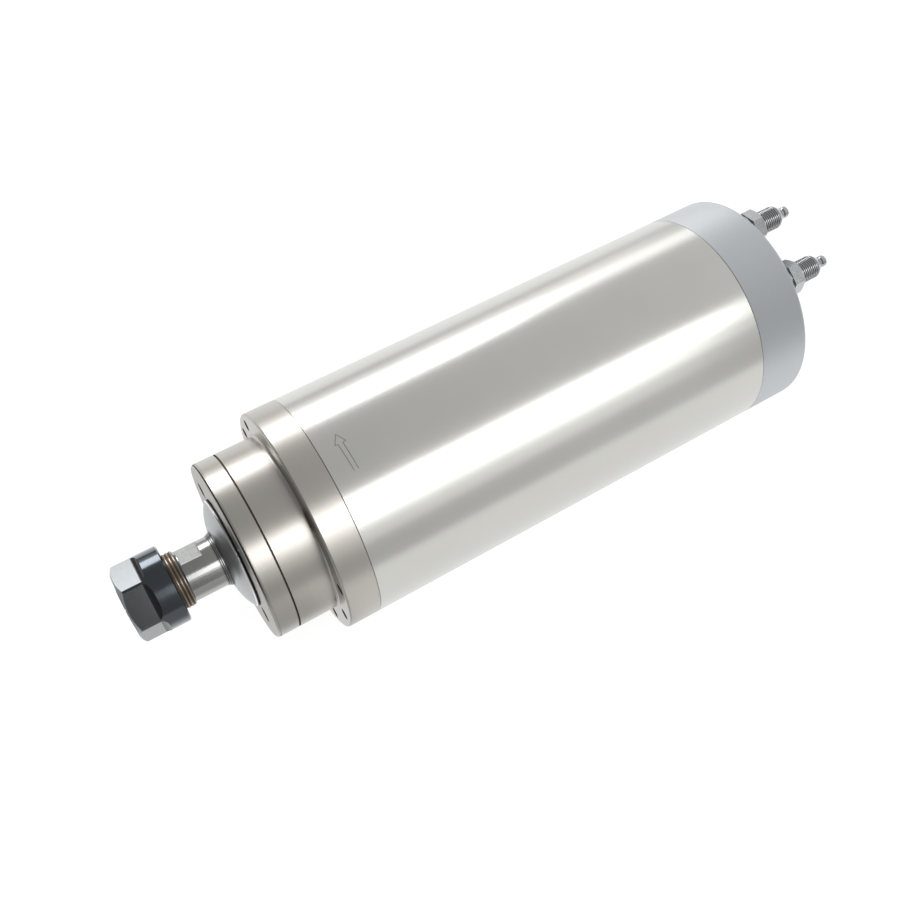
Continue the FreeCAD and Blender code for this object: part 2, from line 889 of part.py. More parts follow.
def preload_disc_spring():
    """Conical washer that pushes the rear bearings back and takes up the play."""
    seat = size("spring_seat")
    ring = size("rear_bearing_x")
    small = size("hub_bore_r") + size("spring_inner_gap")
    large = size("rear_outer_r") - size("spring_outer_gap")
    thick = size("spring_thick")
    return turned("preload_disc_spring", [
        (seat, small), (seat + thick, small), (ring, large), (ring - thick, large),
    ])


# Rear end

def rear_bearing_housing():
    hub = size("hub_front")
    plate = size("jacket_rear")
    rear = size("rear_plate_rear")
    outer = size("sleeve_bore_r") - size("location_gap")
    body = turned("rear_bearing_housing", [
        (hub, size("hub_bore_r")),
        (hub, size("hub_r")),
        (plate, size("hub_r")),
        (plate, outer),
        (rear, outer),
        (rear, size("rear_outer_r")),
        (size("spring_seat"), size("rear_outer_r")),
        (size("spring_seat"), size("hub_bore_r")),
    ])
    thickness = rear - plate + OVERCUT
    for index, side in enumerate((-1, 1)):
        angle = size("fitting_mid_angle") + size("fitting_half_angle") * side
        across, up = on_circle(size("fitting_pitch_r"), angle)
        drill(body, "water_way_%d" % index, rear, thickness, across, up, size("port_r"), False)
    across, up = on_circle(size("cover_screw_pitch_r"), size("cover_screw_angle"))
    tapped = drill(body, "cover_tapping", rear, size("cover_tapping_depth"), across, up,
                   size("cover_tapping_r"), False)
    repeated(body, "cover_tappings", tapped, SCREW_COUNT)
    return body


def rear_cover():
    """End bell that closes the body and carries the water and power connections."""
    start = size("rear_plate_rear")
    seam = size("seam_rear")
    rear = size("cover_rear")
    body_r = size("body_r")
    fine = size("fine_break")
    edge = size("cover_round")
    cavity = size("cover_cavity_r")
    inner_face = rear - size("cover_wall")
    spigot = size("sleeve_bore_r") - size("location_gap")
    body = turned("rear_cover", [
        (start, cavity),
        (start, spigot),
        (seam, spigot),
        (seam, body_r - fine),
        (seam + fine, body_r),
        (rear - edge, body_r, edge * -1),
        (rear, body_r - edge),
        (rear, fixed(0)),
        (inner_face, fixed(0)),
        (inner_face, cavity),
    ])
    through = rear - start + OVERCUT
    for index, side in enumerate((-1, 1)):
        angle = size("fitting_mid_angle") + size("fitting_half_angle") * side
        across, up = on_circle(size("fitting_pitch_r"), angle)
        drill(body, "port_%d" % index, rear, through, across, up, size("port_r"), False)
        tapped_r = size("stud_r") + size("location_gap")
        depth = size("stud_depth") + OVERCUT
        drill(body, "port_tapping_%d" % index, rear, depth, across, up, tapped_r, False)
    across, up = on_circle(size("cover_screw_pitch_r"), size("cover_screw_angle"))
    way = drill(body, "cover_screw_way", rear, through, across, up, size("cover_screw_way_r"), False)
    repeated(body, "cover_screw_ways", way, SCREW_COUNT)
    sink = drill(body, "cover_head_sink", rear, size("cover_sink_depth"), across, up,
                 size("cover_sink_r"), False)
    repeated(body, "cover_head_sinks", sink, SCREW_COUNT)
    y, z = size("connector_y"), size("connector_z")
    wall = size("cover_wall") + OVERCUT
    way_r = size("connector_bore_r") + size("connector_wall") + size("connector_way_gap")
    drill(body, "connector_way", rear, wall, y, z, way_r, False)
    half = size("connector_hole_half")
    for index, (side, lift) in enumerate(((1, 1), (-1, 1), (-1, -1), (1, -1))):
        spot = (y + half * side, z + half * lift)
        drill(body, "connector_tapping_%d" % index, rear, size("connector_tapping_depth"), *spot,
              size("connector_tapping_r"), False)
    return body


def water_fitting(label, roll_alias, side):
    """Hose fitting: tapered seat stud, hexagon, clamp nut thread and hose nipple, bored through."""
    face = size("cover_rear")
    seat = face + size("washer_thick")
    hex_end = face + size("fitting_hex_end")
    thread_r = size("fitting_thread_r")
    thread_end = hex_end + size("fitting_thread_length")
    cone_end = thread_end + size("fitting_cone")
    neck_r = size("nipple_neck_r")
    barb_start = cone_end + size("nipple_neck_length")
    barb_crest = barb_start + size("barb_step")
    barb_end = barb_crest + size("barb_length")
    bore = size("fitting_bore_r")
    body = turned(label, [
        (face - size("stud_depth"), bore),
        (face - size("stud_depth"), size("stud_r")),
        (seat, size("stud_r")),
        (seat, size("fitting_across_flats") / 2),
        (hex_end, size("fitting_across_flats") / 2),
        (hex_end, thread_r),
        (thread_end, thread_r),
        (cone_end, size("fitting_cone_end_r")),
        (cone_end, neck_r),
        (barb_start, neck_r),
        (barb_crest, size("barb_r")),
        (barb_end, size("barb_r")),
        (hex_end + size("nipple_tip_end"), size("nipple_tip_r")),
        (hex_end + size("nipple_end"), bore),
    ])
    angle = size("fitting_mid_angle") + size("fitting_half_angle") * side
    plan = new_sketch(body, label + "_hexagon", "YZ_Plane", offset=seat)
    draw_loop(plan, hexagon(size("fitting_across_flats"), size(roll_alias)))
    draw_circle(plan, fixed(0), fixed(0), thread_r - OVERCUT, "core_")
    pad(body, label + "_hex", plan, hex_end - seat)
    brim = size("fitting_across_flats") / 2 + OVERCUT * 2
    crown = size("fitting_crown_r")
    crown_start = hex_end - (brim - crown) * tangent(size("fitting_crown_angle"))
    trim = new_sketch(body, label + "_crown_outline", "XY_Plane")
    draw_loop(trim, [(crown_start, brim), (hex_end, brim), (hex_end, crown)])
    carve(body, label + "_crown", trim, fixed(360))
    across, up = on_circle(size("fitting_pitch_r"), angle)
    shift(body, across, up)
    return body


def fitting_washers():
    """Sealing washers under the two fittings."""
    face = float(SHEET.get("cover_rear"))
    thick = float(SHEET.get("washer_thick"))
    gap = float(SHEET.get("location_gap"))
    ring = tube(face, face + thick, float(SHEET.get("stud_r")) + gap, float(SHEET.get("washer_r")))
    pitch = float(SHEET.get("fitting_pitch_r"))
    middle = float(SHEET.get("fitting_mid_angle"))
    half = float(SHEET.get("fitting_half_angle"))
    rings = []
    for angle in (middle - half, middle + half):
        radians = math.radians(angle)
        rings.append(placed(ring, FreeCAD.Vector(0, pitch * math.cos(radians), pitch * math.sin(radians))))
    return group("fitting_washers", rings)


def power_connector():
    """Flanged metal receptacle with an insulating insert and four sleeve contacts."""
    face = size("cover_rear")
    y, z = size("connector_y"), size("connector_z")
    half = size("connector_flange_half")
    thick = size("connector_flange_thick")
    barrel = size("connector_barrel_r")
    bore = size("connector_bore_r")
    end = face + size("connector_barrel_end")
    edge = size("connector_barrel_edge")
    step_r = size("connector_step_r")
    step_end = face + thick + size("connector_step_height")
    tube_r = bore + size("connector_wall")
    inside = face - size("connector_inside_depth")
    shell = new_body("connector_shell")
    plan = new_sketch(shell, "connector_flange_plan", "YZ_Plane", offset=face)
    low, trim = half * -1, size("connector_flange_thick")
    corner = half - trim
    draw_loop(plan, [
        (corner, low, trim), (half, corner * -1), (half, corner, trim), (corner, half),
        (corner * -1, half, trim), (low, corner), (low, corner * -1, trim), (corner * -1, low),
    ])
    pad(shell, "connector_flange", plan, thick)
    outline = new_sketch(shell, "connector_barrel_outline", "XY_Plane")
    draw_loop(outline, [
        (inside, fixed(0)), (inside, tube_r), (face, tube_r), (face, step_r),
        (step_end, step_r), (step_end, barrel), (end - edge, barrel),
        (end, barrel - edge), (end, fixed(0)),
    ])
    feature = shell.newObject("PartDesign::Revolution", "connector_barrel")
    feature.Profile = outline
    feature.ReferenceAxis = (outline, ["H_Axis"])
    feature.Angle = 360
    drill(shell, "connector_bore", end, end - inside + OVERCUT, fixed(0), fixed(0), bore, False)
    hole = size("connector_hole_half")
    for index, (side, lift) in enumerate(((1, 1), (-1, 1), (-1, -1), (1, -1))):
        drill(shell, "connector_hole_%d" % index, face + thick, thick + OVERCUT,
              hole * side, hole * lift, size("connector_hole_r"), False)
    shift(shell, y, z)
    insert_end = end - size("insert_recess")
    insert = turned("connector_insert", [
        (inside, fixed(0)), (inside, bore - size("location_gap")),
        (insert_end, bore - size("location_gap")), (insert_end, fixed(0)),
    ])
    contact_spot = (size("contact_pitch_r"), fixed(0))
    way = drill(insert, "contact_way", insert_end, insert_end - inside + OVERCUT, *contact_spot,
                size("contact_r") + size("location_gap"), False)
    repeated(insert, "contact_ways", way, SCREW_COUNT)
    shift(insert, y, z)
    tail_end = inside - size("contact_tail")
    return [shell, insert, power_contacts(tail_end.value, insert_end.value)]


def power_contacts(front, rear):
    """Sleeve contacts that the plug's pins enter, with solder tails inside the cover."""
    sleeve = Part.makeCylinder(
        float(SHEET.get("contact_r")), rear - front, FreeCAD.Vector(front, 0, 0), FreeCAD.Vector(1, 0, 0)
    )
    depth = float(SHEET.get("contact_bore_depth"))
    bore = Part.makeCylinder(
        float(SHEET.get("contact_bore_r")), depth, FreeCAD.Vector(rear - depth, 0, 0), FreeCAD.Vector(1, 0, 0)
    )
    contact = sleeve.cut(bore)
    contact.translate(FreeCAD.Vector(0, float(SHEET.get("contact_pitch_r")), 0))
    centre = FreeCAD.Vector(0, float(SHEET.get("connector_y")), float(SHEET.get("connector_z")))
    return group("power_contacts", [placed(c, centre) for c in spun_copies(contact, SCREW_COUNT)])


def screw_groups():
    """The screw sets, each one a template screw copied to its seats."""
    cap = socket_screw("cap_screw_template", head_r=3.5, head_height=4.0, shank_r=2.0,
                       shank_length=13.0, key_across=3.0)
    cover = socket_screw("cover_screw_template", head_r=4.25, head_height=5.0, shank_r=2.5,
                         shank_length=30.0, key_across=4.0)
    small = socket_screw("connector_screw_template", head_r=2.3, head_height=1.8, shank_r=1.25,
                         shank_length=6.0, key_across=1.5)
    DOC.recompute()
    front = float(SHEET.get("cap_front"))
    rear = float(SHEET.get("cover_rear"))
    cap_seat = front + float(SHEET.get("cap_sink_depth"))
    cover_seat = rear - float(SHEET.get("cover_sink_depth"))
    cap_pitch = float(SHEET.get("cap_screw_pitch_r"))
    cover_pitch = float(SHEET.get("cover_screw_pitch_r"))
    cap_one = placed(cap.Shape, FreeCAD.Vector(cap_seat, cap_pitch, 0))
    cover_one = placed(cover.Shape, FreeCAD.Vector(cover_seat, cover_pitch, 0), flip=True)
    half = float(SHEET.get("connector_hole_half"))
    y, z = float(SHEET.get("connector_y")), float(SHEET.get("connector_z"))
    seat = rear + float(SHEET.get("connector_flange_thick"))
    small_ones = []
    for side, lift in ((1, 1), (-1, 1), (-1, -1), (1, -1)):
        spot = FreeCAD.Vector(seat, y + half * side, z + half * lift)
        small_ones.append(placed(small.Shape, spot, flip=True))
    return [
        group("front_cap_screws", spun_copies(cap_one, SCREW_COUNT, float(SHEET.get("cap_screw_angle")))),
        group("rear_cover_screws",
              spun_copies(cover_one, SCREW_COUNT, float(SHEET.get("cover_screw_angle")))),
        group("connector_screws", small_ones),
    ]


# Rotor

def spindle_shaft():
    """Shaft with the collet taper, nut thread, wrench flats, collar and bearing seats."""
    front = size("shaft_front")
    thread = size("thread_r")
    neck = size("neck_r")
    seat = size("slinger_seat_r")
    slope = tangent(size("collet_taper"))
    front_seat = size("front_bearing_x")
    front_end = front_seat + size("front_bearing_width") * 2 + size("front_spacer_width")
    nut_end = front_end + size("lock_nut_width")
    rear_seat = size("rear_bearing_x")
    mouth_r = size("collet_r") + size("taper_gap") - slope * (front - size("collet_taper_front"))
    taper_end = size("collet_front") + size("collet_length") + size("taper_end_gap")
    throat_r = mouth_r - slope * (taper_end - front)
    bore = size("shaft_bore_r")
    bore_end = size("shaft_bore_end")
    edge = size("shaft_edge")
    seat_edge = size("seat_edge")
    rings = []
    for index in range(NECK_RINGS):
        start = size("neck_ring_front") + size("neck_ring_pitch") * index
        end = start + size("neck_ring_width")
        crest = neck + size("neck_ring_step") * (index + 1)
        rings += [(start, neck), (start, crest), (end, crest), (end, neck)]
    body = turned("spindle_shaft", [
        (front, mouth_r),
        (front, thread - edge),
        (front + edge, thread),
        (size("thread_rear"), thread),
        (size("thread_rear") + size("thread_runout"), neck),
        *rings,
        (size("seat_front"), neck),
        (size("seat_front"), seat - seat_edge),
        (size("seat_front") + seat_edge, seat),
        (size("collar_front"), seat),
        (size("collar_front"), size("collar_r")),
        (front_seat, size("collar_r")),
        (front_seat, size("front_bore_r")),
        (nut_end, size("front_bore_r")),
        (nut_end, size("rotor_seat_r")),
        (rear_seat, size("rotor_seat_r")),
        (rear_seat, size("rear_bore_r")),
        (size("shaft_rear") - edge, size("rear_bore_r")),
        (size("shaft_rear"), size("rear_bore_r") - edge),
        (size("shaft_rear"), fixed(0)),
        (bore_end + size("drill_point"), fixed(0)),
        (bore_end, bore),
        (taper_end, bore),
        (taper_end, throat_r),
    ])
    flats = new_sketch(body, "flat_outline", "XZ_Plane")
    level = size("flat_across") / 2
    top = size("thread_r") + OVERCUT
    first, last = size("flat_front"), size("flat_rear")
    draw_loop(flats, [(first, level), (last, level), (last, top), (first, top)])
    flat = pocket(body, "wrench_flat", flats, size("thread_r") * 2 + OVERCUT, midplane=True)
    repeated(body, "wrench_flats", flat, 2)
    roll(body, size("flat_normal_angle") - 90)
    return body


def dust_slinger():
    """Domed disc that turns with the shaft and throws dust and coolant off the cap."""
    seat = size("slinger_seat_r") + size("location_gap")
    front = size("slinger_front")
    hub = size("slinger_hub_r")
    rear = size("slinger_rear")
    rim = size("slinger_r")
    edge = size("slinger_edge")
    dome_rear = size("slinger_dome_rear")
    dish = rear - size("slinger_dish")
    collar = size("collar_front")
    collar_r = size("collar_r") - size("slinger_hub_gap")
    return turned("dust_slinger", [
        (front, seat),
        (front, hub, size("slinger_dome_r") * -1),
        (dome_rear, rim - edge),
        (dome_rear + edge, rim),
        (rear, rim),
        (rear, size("slinger_dish_outer_r") + size("slinger_dish")),
        (dish, size("slinger_dish_outer_r")),
        (dish, size("slinger_dish_inner_r")),
        (rear, collar_r),
        (collar, collar_r),
        (collar, seat),
    ])


# Collet and nut

def collet():
    """Spring collet: steep front cone, nut groove, long rear taper, slots cut from both ends."""
    front = size("collet_front")
    rear = front + size("collet_length")
    wide = size("collet_r")
    start = size("collet_taper_front")
    groove = size("collet_groove_r")
    groove_front = start - size("collet_groove_width")
    rim = wide - size("collet_rim_step")
    bore = size("collet_bore_r")
    tail_r = wide - tangent(size("collet_taper")) * (rear - start)
    body = turned("collet", [
        (front, bore),
        (front, rim - size("collet_cone_step")),
        (front + size("collet_cone_length"), rim),
        (groove_front, rim),
        (groove_front, groove),
        (start, groove),
        (start, wide),
        (rear, tail_r),
        (rear, bore),
    ])
    reach = size("collet_length") - size("collet_bridge")
    half = size("collet_slot_width") / 2
    low = bore - OVERCUT
    high = wide + OVERCUT
    half_pitch = 180.0 / COLLET_SLOTS
    for name, face, towards_x, turn in (("front", front, True, 0.0), ("rear", rear, False, half_pitch)):
        plan = new_sketch(body, name + "_slot_plan", "YZ_Plane", offset=face)
        away = size("collet_slot_turn") + turn
        draw_loop(plan, [
            (low * cosine(away) + half * sine(away), low * sine(away) - half * cosine(away)),
            (high * cosine(away) + half * sine(away), high * sine(away) - half * cosine(away)),
            (high * cosine(away) - half * sine(away), high * sine(away) + half * cosine(away)),
            (low * cosine(away) - half * sine(away), low * sine(away) + half * cosine(away)),
        ])
        slot = pocket(body, name + "_slot", plan, reach, towards_x=towards_x)
        repeated(body, name + "_slots", slot, COLLET_SLOTS)
    return body


def collet_nut():
    """Clamping nut: round collar behind, hexagon with milled run-outs in front, pull ring inside."""
    front = size("nut_front")
    rear = size("nut_rear")
    outer = size("nut_r")
    thread = size("nut_thread_r")
    wide = size("collet_r")
    gap = size("nut_lip_gap")
    edge = size("nut_edge")
    bore = wide + size("nut_bore_gap")
    lip_front = size("collet_taper_front") - size("collet_groove_width") + gap
    lip_rear = lip_front + size("nut_lip_width")
    lip_r = size("collet_groove_r") + gap
    slope = size("collet_cone_step") / size("collet_cone_length")
    cone_r = wide - size("collet_rim_step") + size("nut_cone_gap")
    cone_start = size("collet_front") + size("collet_cone_length")
    thread_front = size("shaft_front") - size("nut_thread_relief")
    face_bore = cone_r - slope * (cone_start - front)
    body = turned("collet_nut", [
        (front, face_bore),
        (front, size("nut_face_r")),
        (front + size("nut_face_chamfer"), outer),
        (rear - edge, outer),
        (rear, outer - edge),
        (rear, thread + edge),
        (rear - edge, thread),
        (thread_front, thread),
        (thread_front, bore),
        (lip_rear, bore),
        (lip_rear, lip_r),
        (lip_front, lip_r),
        (lip_front, cone_r),
        (cone_start, cone_r),
    ])
    flats = new_sketch(body, "hex_flat_outline", "XZ_Plane")
    level = size("nut_across_flats") / 2
    cutter = size("nut_cutter_r")
    end = size("nut_flat_end")
    far = front - OVERCUT
    top = outer + cutter
    draw_loop(flats, [
        (far, level),
        (end, level, cutter),
        (end + cutter, level + cutter),
        (end + cutter, top),
        (far, top),
    ])
    flat = pocket(body, "hex_flat", flats, outer * 2 + OVERCUT, midplane=True)
    repeated(body, "hex_flats", flat, 6)
    roll(body, size("nut_roll"))
    return body


# Assembly and output

def build_parts():
    parts = [
        front_housing(), front_bearing_cap(), body_sleeve(), water_jacket(), jacket_seal_rings(),
        stator_core(), stator_windings(), rotor_core(), rotor_end_rings(),
    ]
    parts += bearing_sets()
    parts += [
        preload_disc_spring(), rear_bearing_housing(), rear_cover(),
        water_fitting("water_fitting_a", "fitting_roll_one", -1),
        water_fitting("water_fitting_b", "fitting_roll_two", 1),
        fitting_washers(),
    ]
    parts += power_connector()
    parts += screw_groups()
    parts += [spindle_shaft(), dust_slinger(), collet(), collet_nut()]
    return parts


def check_document():
    """Every object must have recomputed without an error."""
    bad = []
    for item in DOC.Objects:
        if "Invalid" in item.State or "Error" in item.State:
            bad.append(item.Label)
    if bad:
        raise RuntimeError("failed objects: " + ", ".join(bad))


def check_cuts():
    """Each pocket and groove must have taken material away."""
    for item in DOC.Objects:
        if item.TypeId in ("PartDesign::Pocket", "PartDesign::Groove"):
            before = item.BaseFeature.Shape.Volume
            if before - item.Shape.Volume < 1e-3:
                raise RuntimeError(item.Label + " removed nothing")


def write_parts(parts):
    os.makedirs("parts", exist_ok=True)
    for part in parts:
        shape = part.Shape
        if shape.isNull() or not shape.isValid():
            raise RuntimeError(part.Label + " has no valid shape")
        shape.exportStep(os.path.join("parts", part.Label + ".step"))
        print("%-30s solids %2d  volume %10.1f" % (part.Label, len(shape.Solids), shape.Volume))
    print("nodes", len(parts))


PARTS = build_parts()
DOC.recompute()
check_document()
check_cuts()
write_parts(PARTS)
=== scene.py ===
# %% [markdown]
# # A water cooled motor spindle, dressed for its portrait
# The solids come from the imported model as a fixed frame: every node already has its true
# size and place, in metres, with the axis along X and the tool end towards -X. What is left
# for this file is what solids don't carry: finishes, threads, a drawn arrow, light and camera.

# %% Load the frame
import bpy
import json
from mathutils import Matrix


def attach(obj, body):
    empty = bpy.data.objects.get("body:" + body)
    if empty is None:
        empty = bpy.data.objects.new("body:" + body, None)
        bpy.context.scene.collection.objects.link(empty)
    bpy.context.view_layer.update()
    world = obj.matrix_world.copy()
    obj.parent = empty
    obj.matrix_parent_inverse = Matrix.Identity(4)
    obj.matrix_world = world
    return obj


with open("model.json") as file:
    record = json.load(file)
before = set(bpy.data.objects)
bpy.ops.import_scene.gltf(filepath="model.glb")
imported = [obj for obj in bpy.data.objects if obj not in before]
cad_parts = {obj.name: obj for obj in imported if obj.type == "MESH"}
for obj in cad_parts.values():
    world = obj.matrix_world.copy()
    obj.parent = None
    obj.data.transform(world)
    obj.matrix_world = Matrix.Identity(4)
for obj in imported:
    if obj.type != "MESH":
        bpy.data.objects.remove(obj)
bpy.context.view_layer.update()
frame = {"nodes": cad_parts, "record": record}

import json
import math

import bpy
from mathutils import Matrix, Vector

NODES = frame["nodes"]
MM = 0.001
print("nodes", len(NODES))

# %% [markdown]
# The camera of the photograph looks down at the spindle from above its nose. Its place was
# found by fitting a pinhole camera to the round edges of the body, so here it only has to
# be set: where it stands, how steeply it looks down, and how far it is turned.

# %% The camera at the photograph's angle
CAMERA_PLACE = Vector((-61.6, -229.2, 407.2)) * MM
CAMERA_ELEVATION = math.radians(57.04)
CAMERA_AZIMUTH = math.radians(-31.21)
CAMERA_LENS = 44.08
CAMERA_SENSOR = 36.0
CAMERA_NEAR = 0.01
CAMERA_FAR = 20.0


def make_camera():
    """The camera where the photograph's stood."""
    data = bpy.data.cameras.new("camera")
    data.lens = CAMERA_LENS
    data.sensor_width = CAMERA_SENSOR
    data.clip_start = CAMERA_NEAR
    data.clip_end = CAMERA_FAR
    camera = bpy.data.objects.new("camera", data)
    bpy.context.scene.collection.objects.link(camera)
    back = Vector((
        math.sin(CAMERA_AZIMUTH) * math.cos(CAMERA_ELEVATION),
        -math.cos(CAMERA_AZIMUTH) * math.cos(CAMERA_ELEVATION),
        math.sin(CAMERA_ELEVATION),
    ))
    camera.location = CAMERA_PLACE
    camera.rotation_mode = "QUATERNION"
    camera.rotation_quaternion = (-back).to_track_quat("-Z", "Y")
    bpy.context.scene.camera = camera
    return camera


camera = make_camera()
print("camera", tuple(round(value, 4) for value in camera.location))

# %% [markdown]
# The room, the table and the finishes are built from nodes, and most of those nodes are
# sums. One helper places a math node whose values are numbers or other nodes' sockets, so
# that a formula reads as a formula. Another places a soft step from 0 to 1.

# %% Node helpers
FLOAT = "NodeSocketFloat"


def add_node(tree, kind, **settings):
    """A node of a kind, with its settings given by name."""
    node = tree.nodes.new(kind)
    for name, value in settings.items():
        setattr(node, name, value)
    return node


def reckon(tree, operation, *values, clamp=False):
    """A math node; each value is a number or another node's socket."""
    node = add_node(tree, "ShaderNodeMath", operation=operation, use_clamp=clamp)
    for socket, value in zip(node.inputs, values):
        if isinstance(value, (int, float)):
            socket.default_value = value
        else:
            tree.links.new(value, socket)
    return node.outputs["Value"]


def fade(tree, socket, start, full):
    """A smooth step from 0 at start to 1 at full."""
    node = add_node(tree, "ShaderNodeMapRange", interpolation_type="SMOOTHSTEP")
    node.inputs["From Min"].default_value = start
    node.inputs["From Max"].default_value = full
    tree.links.new(socket, node.inputs["Value"])
    return node.outputs["Result"]


def coordinates(tree):
    """The X, Y and Z sockets of the object's own coordinates."""
    place = add_node(tree, "ShaderNodeTexCoord")
    parts = add_node(tree, "ShaderNodeSeparateXYZ")
    tree.links.new(place.outputs["Object"], parts.inputs["Vector"])
    return parts.outputs["X"], parts.outputs["Y"], parts.outputs["Z"]


def new_group(name, inputs, outputs):
    """A shader node group with named number sockets."""
    group = bpy.data.node_groups.new(name, "ShaderNodeTree")
    for socket, default in inputs:
        made = group.interface.new_socket(socket, in_out="INPUT", socket_type=FLOAT)
        made.default_value = default
    for socket in outputs:
        group.interface.new_socket(socket, in_out="OUTPUT", socket_type=FLOAT)
    entry = add_node(group, "NodeGroupInput")
    leave = add_node(group, "NodeGroupOutput")
    return group, entry.outputs, leave.inputs


def place_group(tree, group, **values):
    """The group placed in a tree, with numbers or sockets on its inputs."""
    node = add_node(tree, "ShaderNodeGroup")
    node.node_tree = group
    for name, value in values.items():
        socket = node.inputs[name.replace("_", " ")]
        if isinstance(value, (int, float)):
            socket.default_value = value
        else:
            tree.links.new(value, socket)
    return node.outputs


print("helpers ready")

# %% [markdown]
# Round polished metal shows its surroundings as stripes along its length, so the light is
# a studio for tubes: rows of soft boxes parallel to the axis, each placed by the angle at
# which the axis sees it. One row stands low behind and dims towards the rear, one hangs
# high in front. Weak boxes beside them carry the stripes' soft edges. The front row stops
# short of the tool end, where the photograph's nut stays dark.

# %% Soft boxes
BOX_DISTANCE = 1.1
SOFT_BOXES = {  # angle, width, radiance, front end, rear end
    "back_front": (31.5, 0.46, 5.0, -0.30, 0.00),
    "back_middle": (29.5, 0.39, 4.0, 0.00, 0.55),
    "back_rear": (27.0, 0.32, 1.15, 0.55, 0.97),
    "back_edge": (12.5, 0.27, 0.4, -0.30, 0.84),
    "front_start": (133.0, 0.41, 3.4, -0.01, 0.32),
    "front_main": (132.0, 0.35, 3.4, 0.32, 0.85),
    "front_edge": (148.0, 0.20, 1.5, 0.01, 0.82),
    "front_fade": (161.0, 0.30, 0.42, 0.03, 0.78),
}


def soft_box(name, angle, width, radiance, front, rear):
    """A long area lamp parallel to X that faces the axis from an angle about it."""
    length = rear - front
    data = bpy.data.lights.new(name, "AREA")
    data.shape = "RECTANGLE"
    data.size = length
    data.size_y = width
    data.energy = radiance * math.pi * length * width
    lamp = bpy.data.objects.new(name, data)
    bpy.context.scene.collection.objects.link(lamp)
    turn = math.radians(angle)
    out = Vector((0.0, math.cos(turn), math.sin(turn)))
    lamp.location = out * BOX_DISTANCE + Vector(((front + rear) / 2, 0.0, 0.0))
    across = Vector((1.0, 0.0, 0.0))
    up = out.cross(across)
    lamp.rotation_mode = "QUATERNION"
    lamp.rotation_quaternion = Matrix((across, up, out)).transposed().to_quaternion()
    return lamp


LAMPS = {name: soft_box(name, *values) for name, values in SOFT_BOXES.items()}
print("lamps", list(LAMPS))

# %% [markdown]
# In the photograph the shine of the front row ends with the sleeve, and the matt cover
# behind it has none. Light linking takes the cover out of the light of that row's lamps.

# %% The cover out of the front row
def keep_off(piece, lamps):
    """Takes a piece out of the light of the given lamps."""
    receivers = bpy.data.collections.new("out_of_the_front_row")
    receivers.objects.link(piece)
    receivers.collection_objects[0].light_linking.link_state = "EXCLUDE"
    for lamp in lamps:
        lamp.light_linking.receiver_collection = receivers


keep_off(NODES["rear_cover"], [LAMPS[name] for name in LAMPS if name.startswith("front")])
print("kept off", NODES["rear_cover"].name)

# %% [markdown]
# The room round the lamps is dim at the tool end and lighter towards the rear, as where a
# black card stands in front of the nose. The world makes that from the direction alone: a
# colour ramp turns its X part into a level. Beyond the rear end, on the camera's side, a
# second dark card dims it again, which the cover and the fittings show.

# %% The room
ROOM_LEVELS = [  # X part of the direction, level
    (0.03, 0.25), (0.09, 0.63), (0.18, 0.61), (0.33, 0.68), (0.45, 0.73), (0.62, 0.84),
]
CARD_BEHIND = (0.53, 0.57)  # X part where the card starts and where it is full
CARD_BESIDE = (-0.05, -0.70)  # Y part where it starts and where it is full
CARD_DEPTH = 0.42


def make_room():
    """A world whose level goes by the direction's X part, with the rear card over it."""
    world = bpy.data.worlds.new("room")
    bpy.context.scene.world = world
    world.use_nodes = True
    tree = world.node_tree
    background = tree.nodes["Background"]
    place = add_node(tree, "ShaderNodeTexCoord")
    parts = add_node(tree, "ShaderNodeSeparateXYZ")
    level = add_node(tree, "ShaderNodeValToRGB")
    level.color_ramp.interpolation = "EASE"
    stops = level.color_ramp.elements
    while len(stops) < len(ROOM_LEVELS):
        stops.new(0.5)
    for stop, (position, value) in zip(stops, ROOM_LEVELS):
        stop.position = position
        stop.color = (value, value, value, 1.0)
    tree.links.new(place.outputs["Generated"], parts.inputs["Vector"])
    tree.links.new(parts.outputs["X"], level.inputs["Fac"])
    tree.links.new(level.outputs["Color"], background.inputs["Color"])
    behind = fade(tree, parts.outputs["X"], *CARD_BEHIND)
    beside = fade(tree, parts.outputs["Y"], *CARD_BESIDE)
    card = reckon(tree, "MULTIPLY", behind, beside)
    strength = reckon(tree, "MULTIPLY_ADD", card, -CARD_DEPTH, 1.0)
    tree.links.new(strength, background.inputs["Strength"])


make_room()
bpy.context.scene.view_settings.view_transform = "Standard"
print("room", ROOM_LEVELS[0][1], "to", ROOM_LEVELS[-1][1])

# %% [markdown]
# The photograph's ground is pure white. A pale table under the body gives that: it keeps
# the body's soft shadow, shows in the metal as a bright floor, and glows a little for the
# camera and for mirror rays, so that the ground is white without more light on the part.
# It ends not far in front of the body, where the metal shows the dim room again. Mirror rays
# find its corner beside the nose dimmer, because the photograph's nut and nose are dark below.

# %% The table
FLOOR_HEIGHT = -50.0 * MM
FLOOR_FRONT = Vector((-0.60, -0.26))
FLOOR_REAR = Vector((0.95, 0.75))
FLOOR_PAINT = 0.27
FLOOR_GLOW = 0.87
FLOOR_PLAIN = 0.8
DIM_CORNER_X = (20.0 * MM, -10.0 * MM)  # where the dimming starts and where it is full
DIM_CORNER_Y = (-35.0 * MM, -60.0 * MM)
DIM_LOSS = 0.45


def diffuse(tree, level):
    """A matt grey shader."""
    node = add_node(tree, "ShaderNodeBsdfDiffuse")
    node.inputs["Color"].default_value = (level, level, level, 1.0)
    return node.outputs["BSDF"]


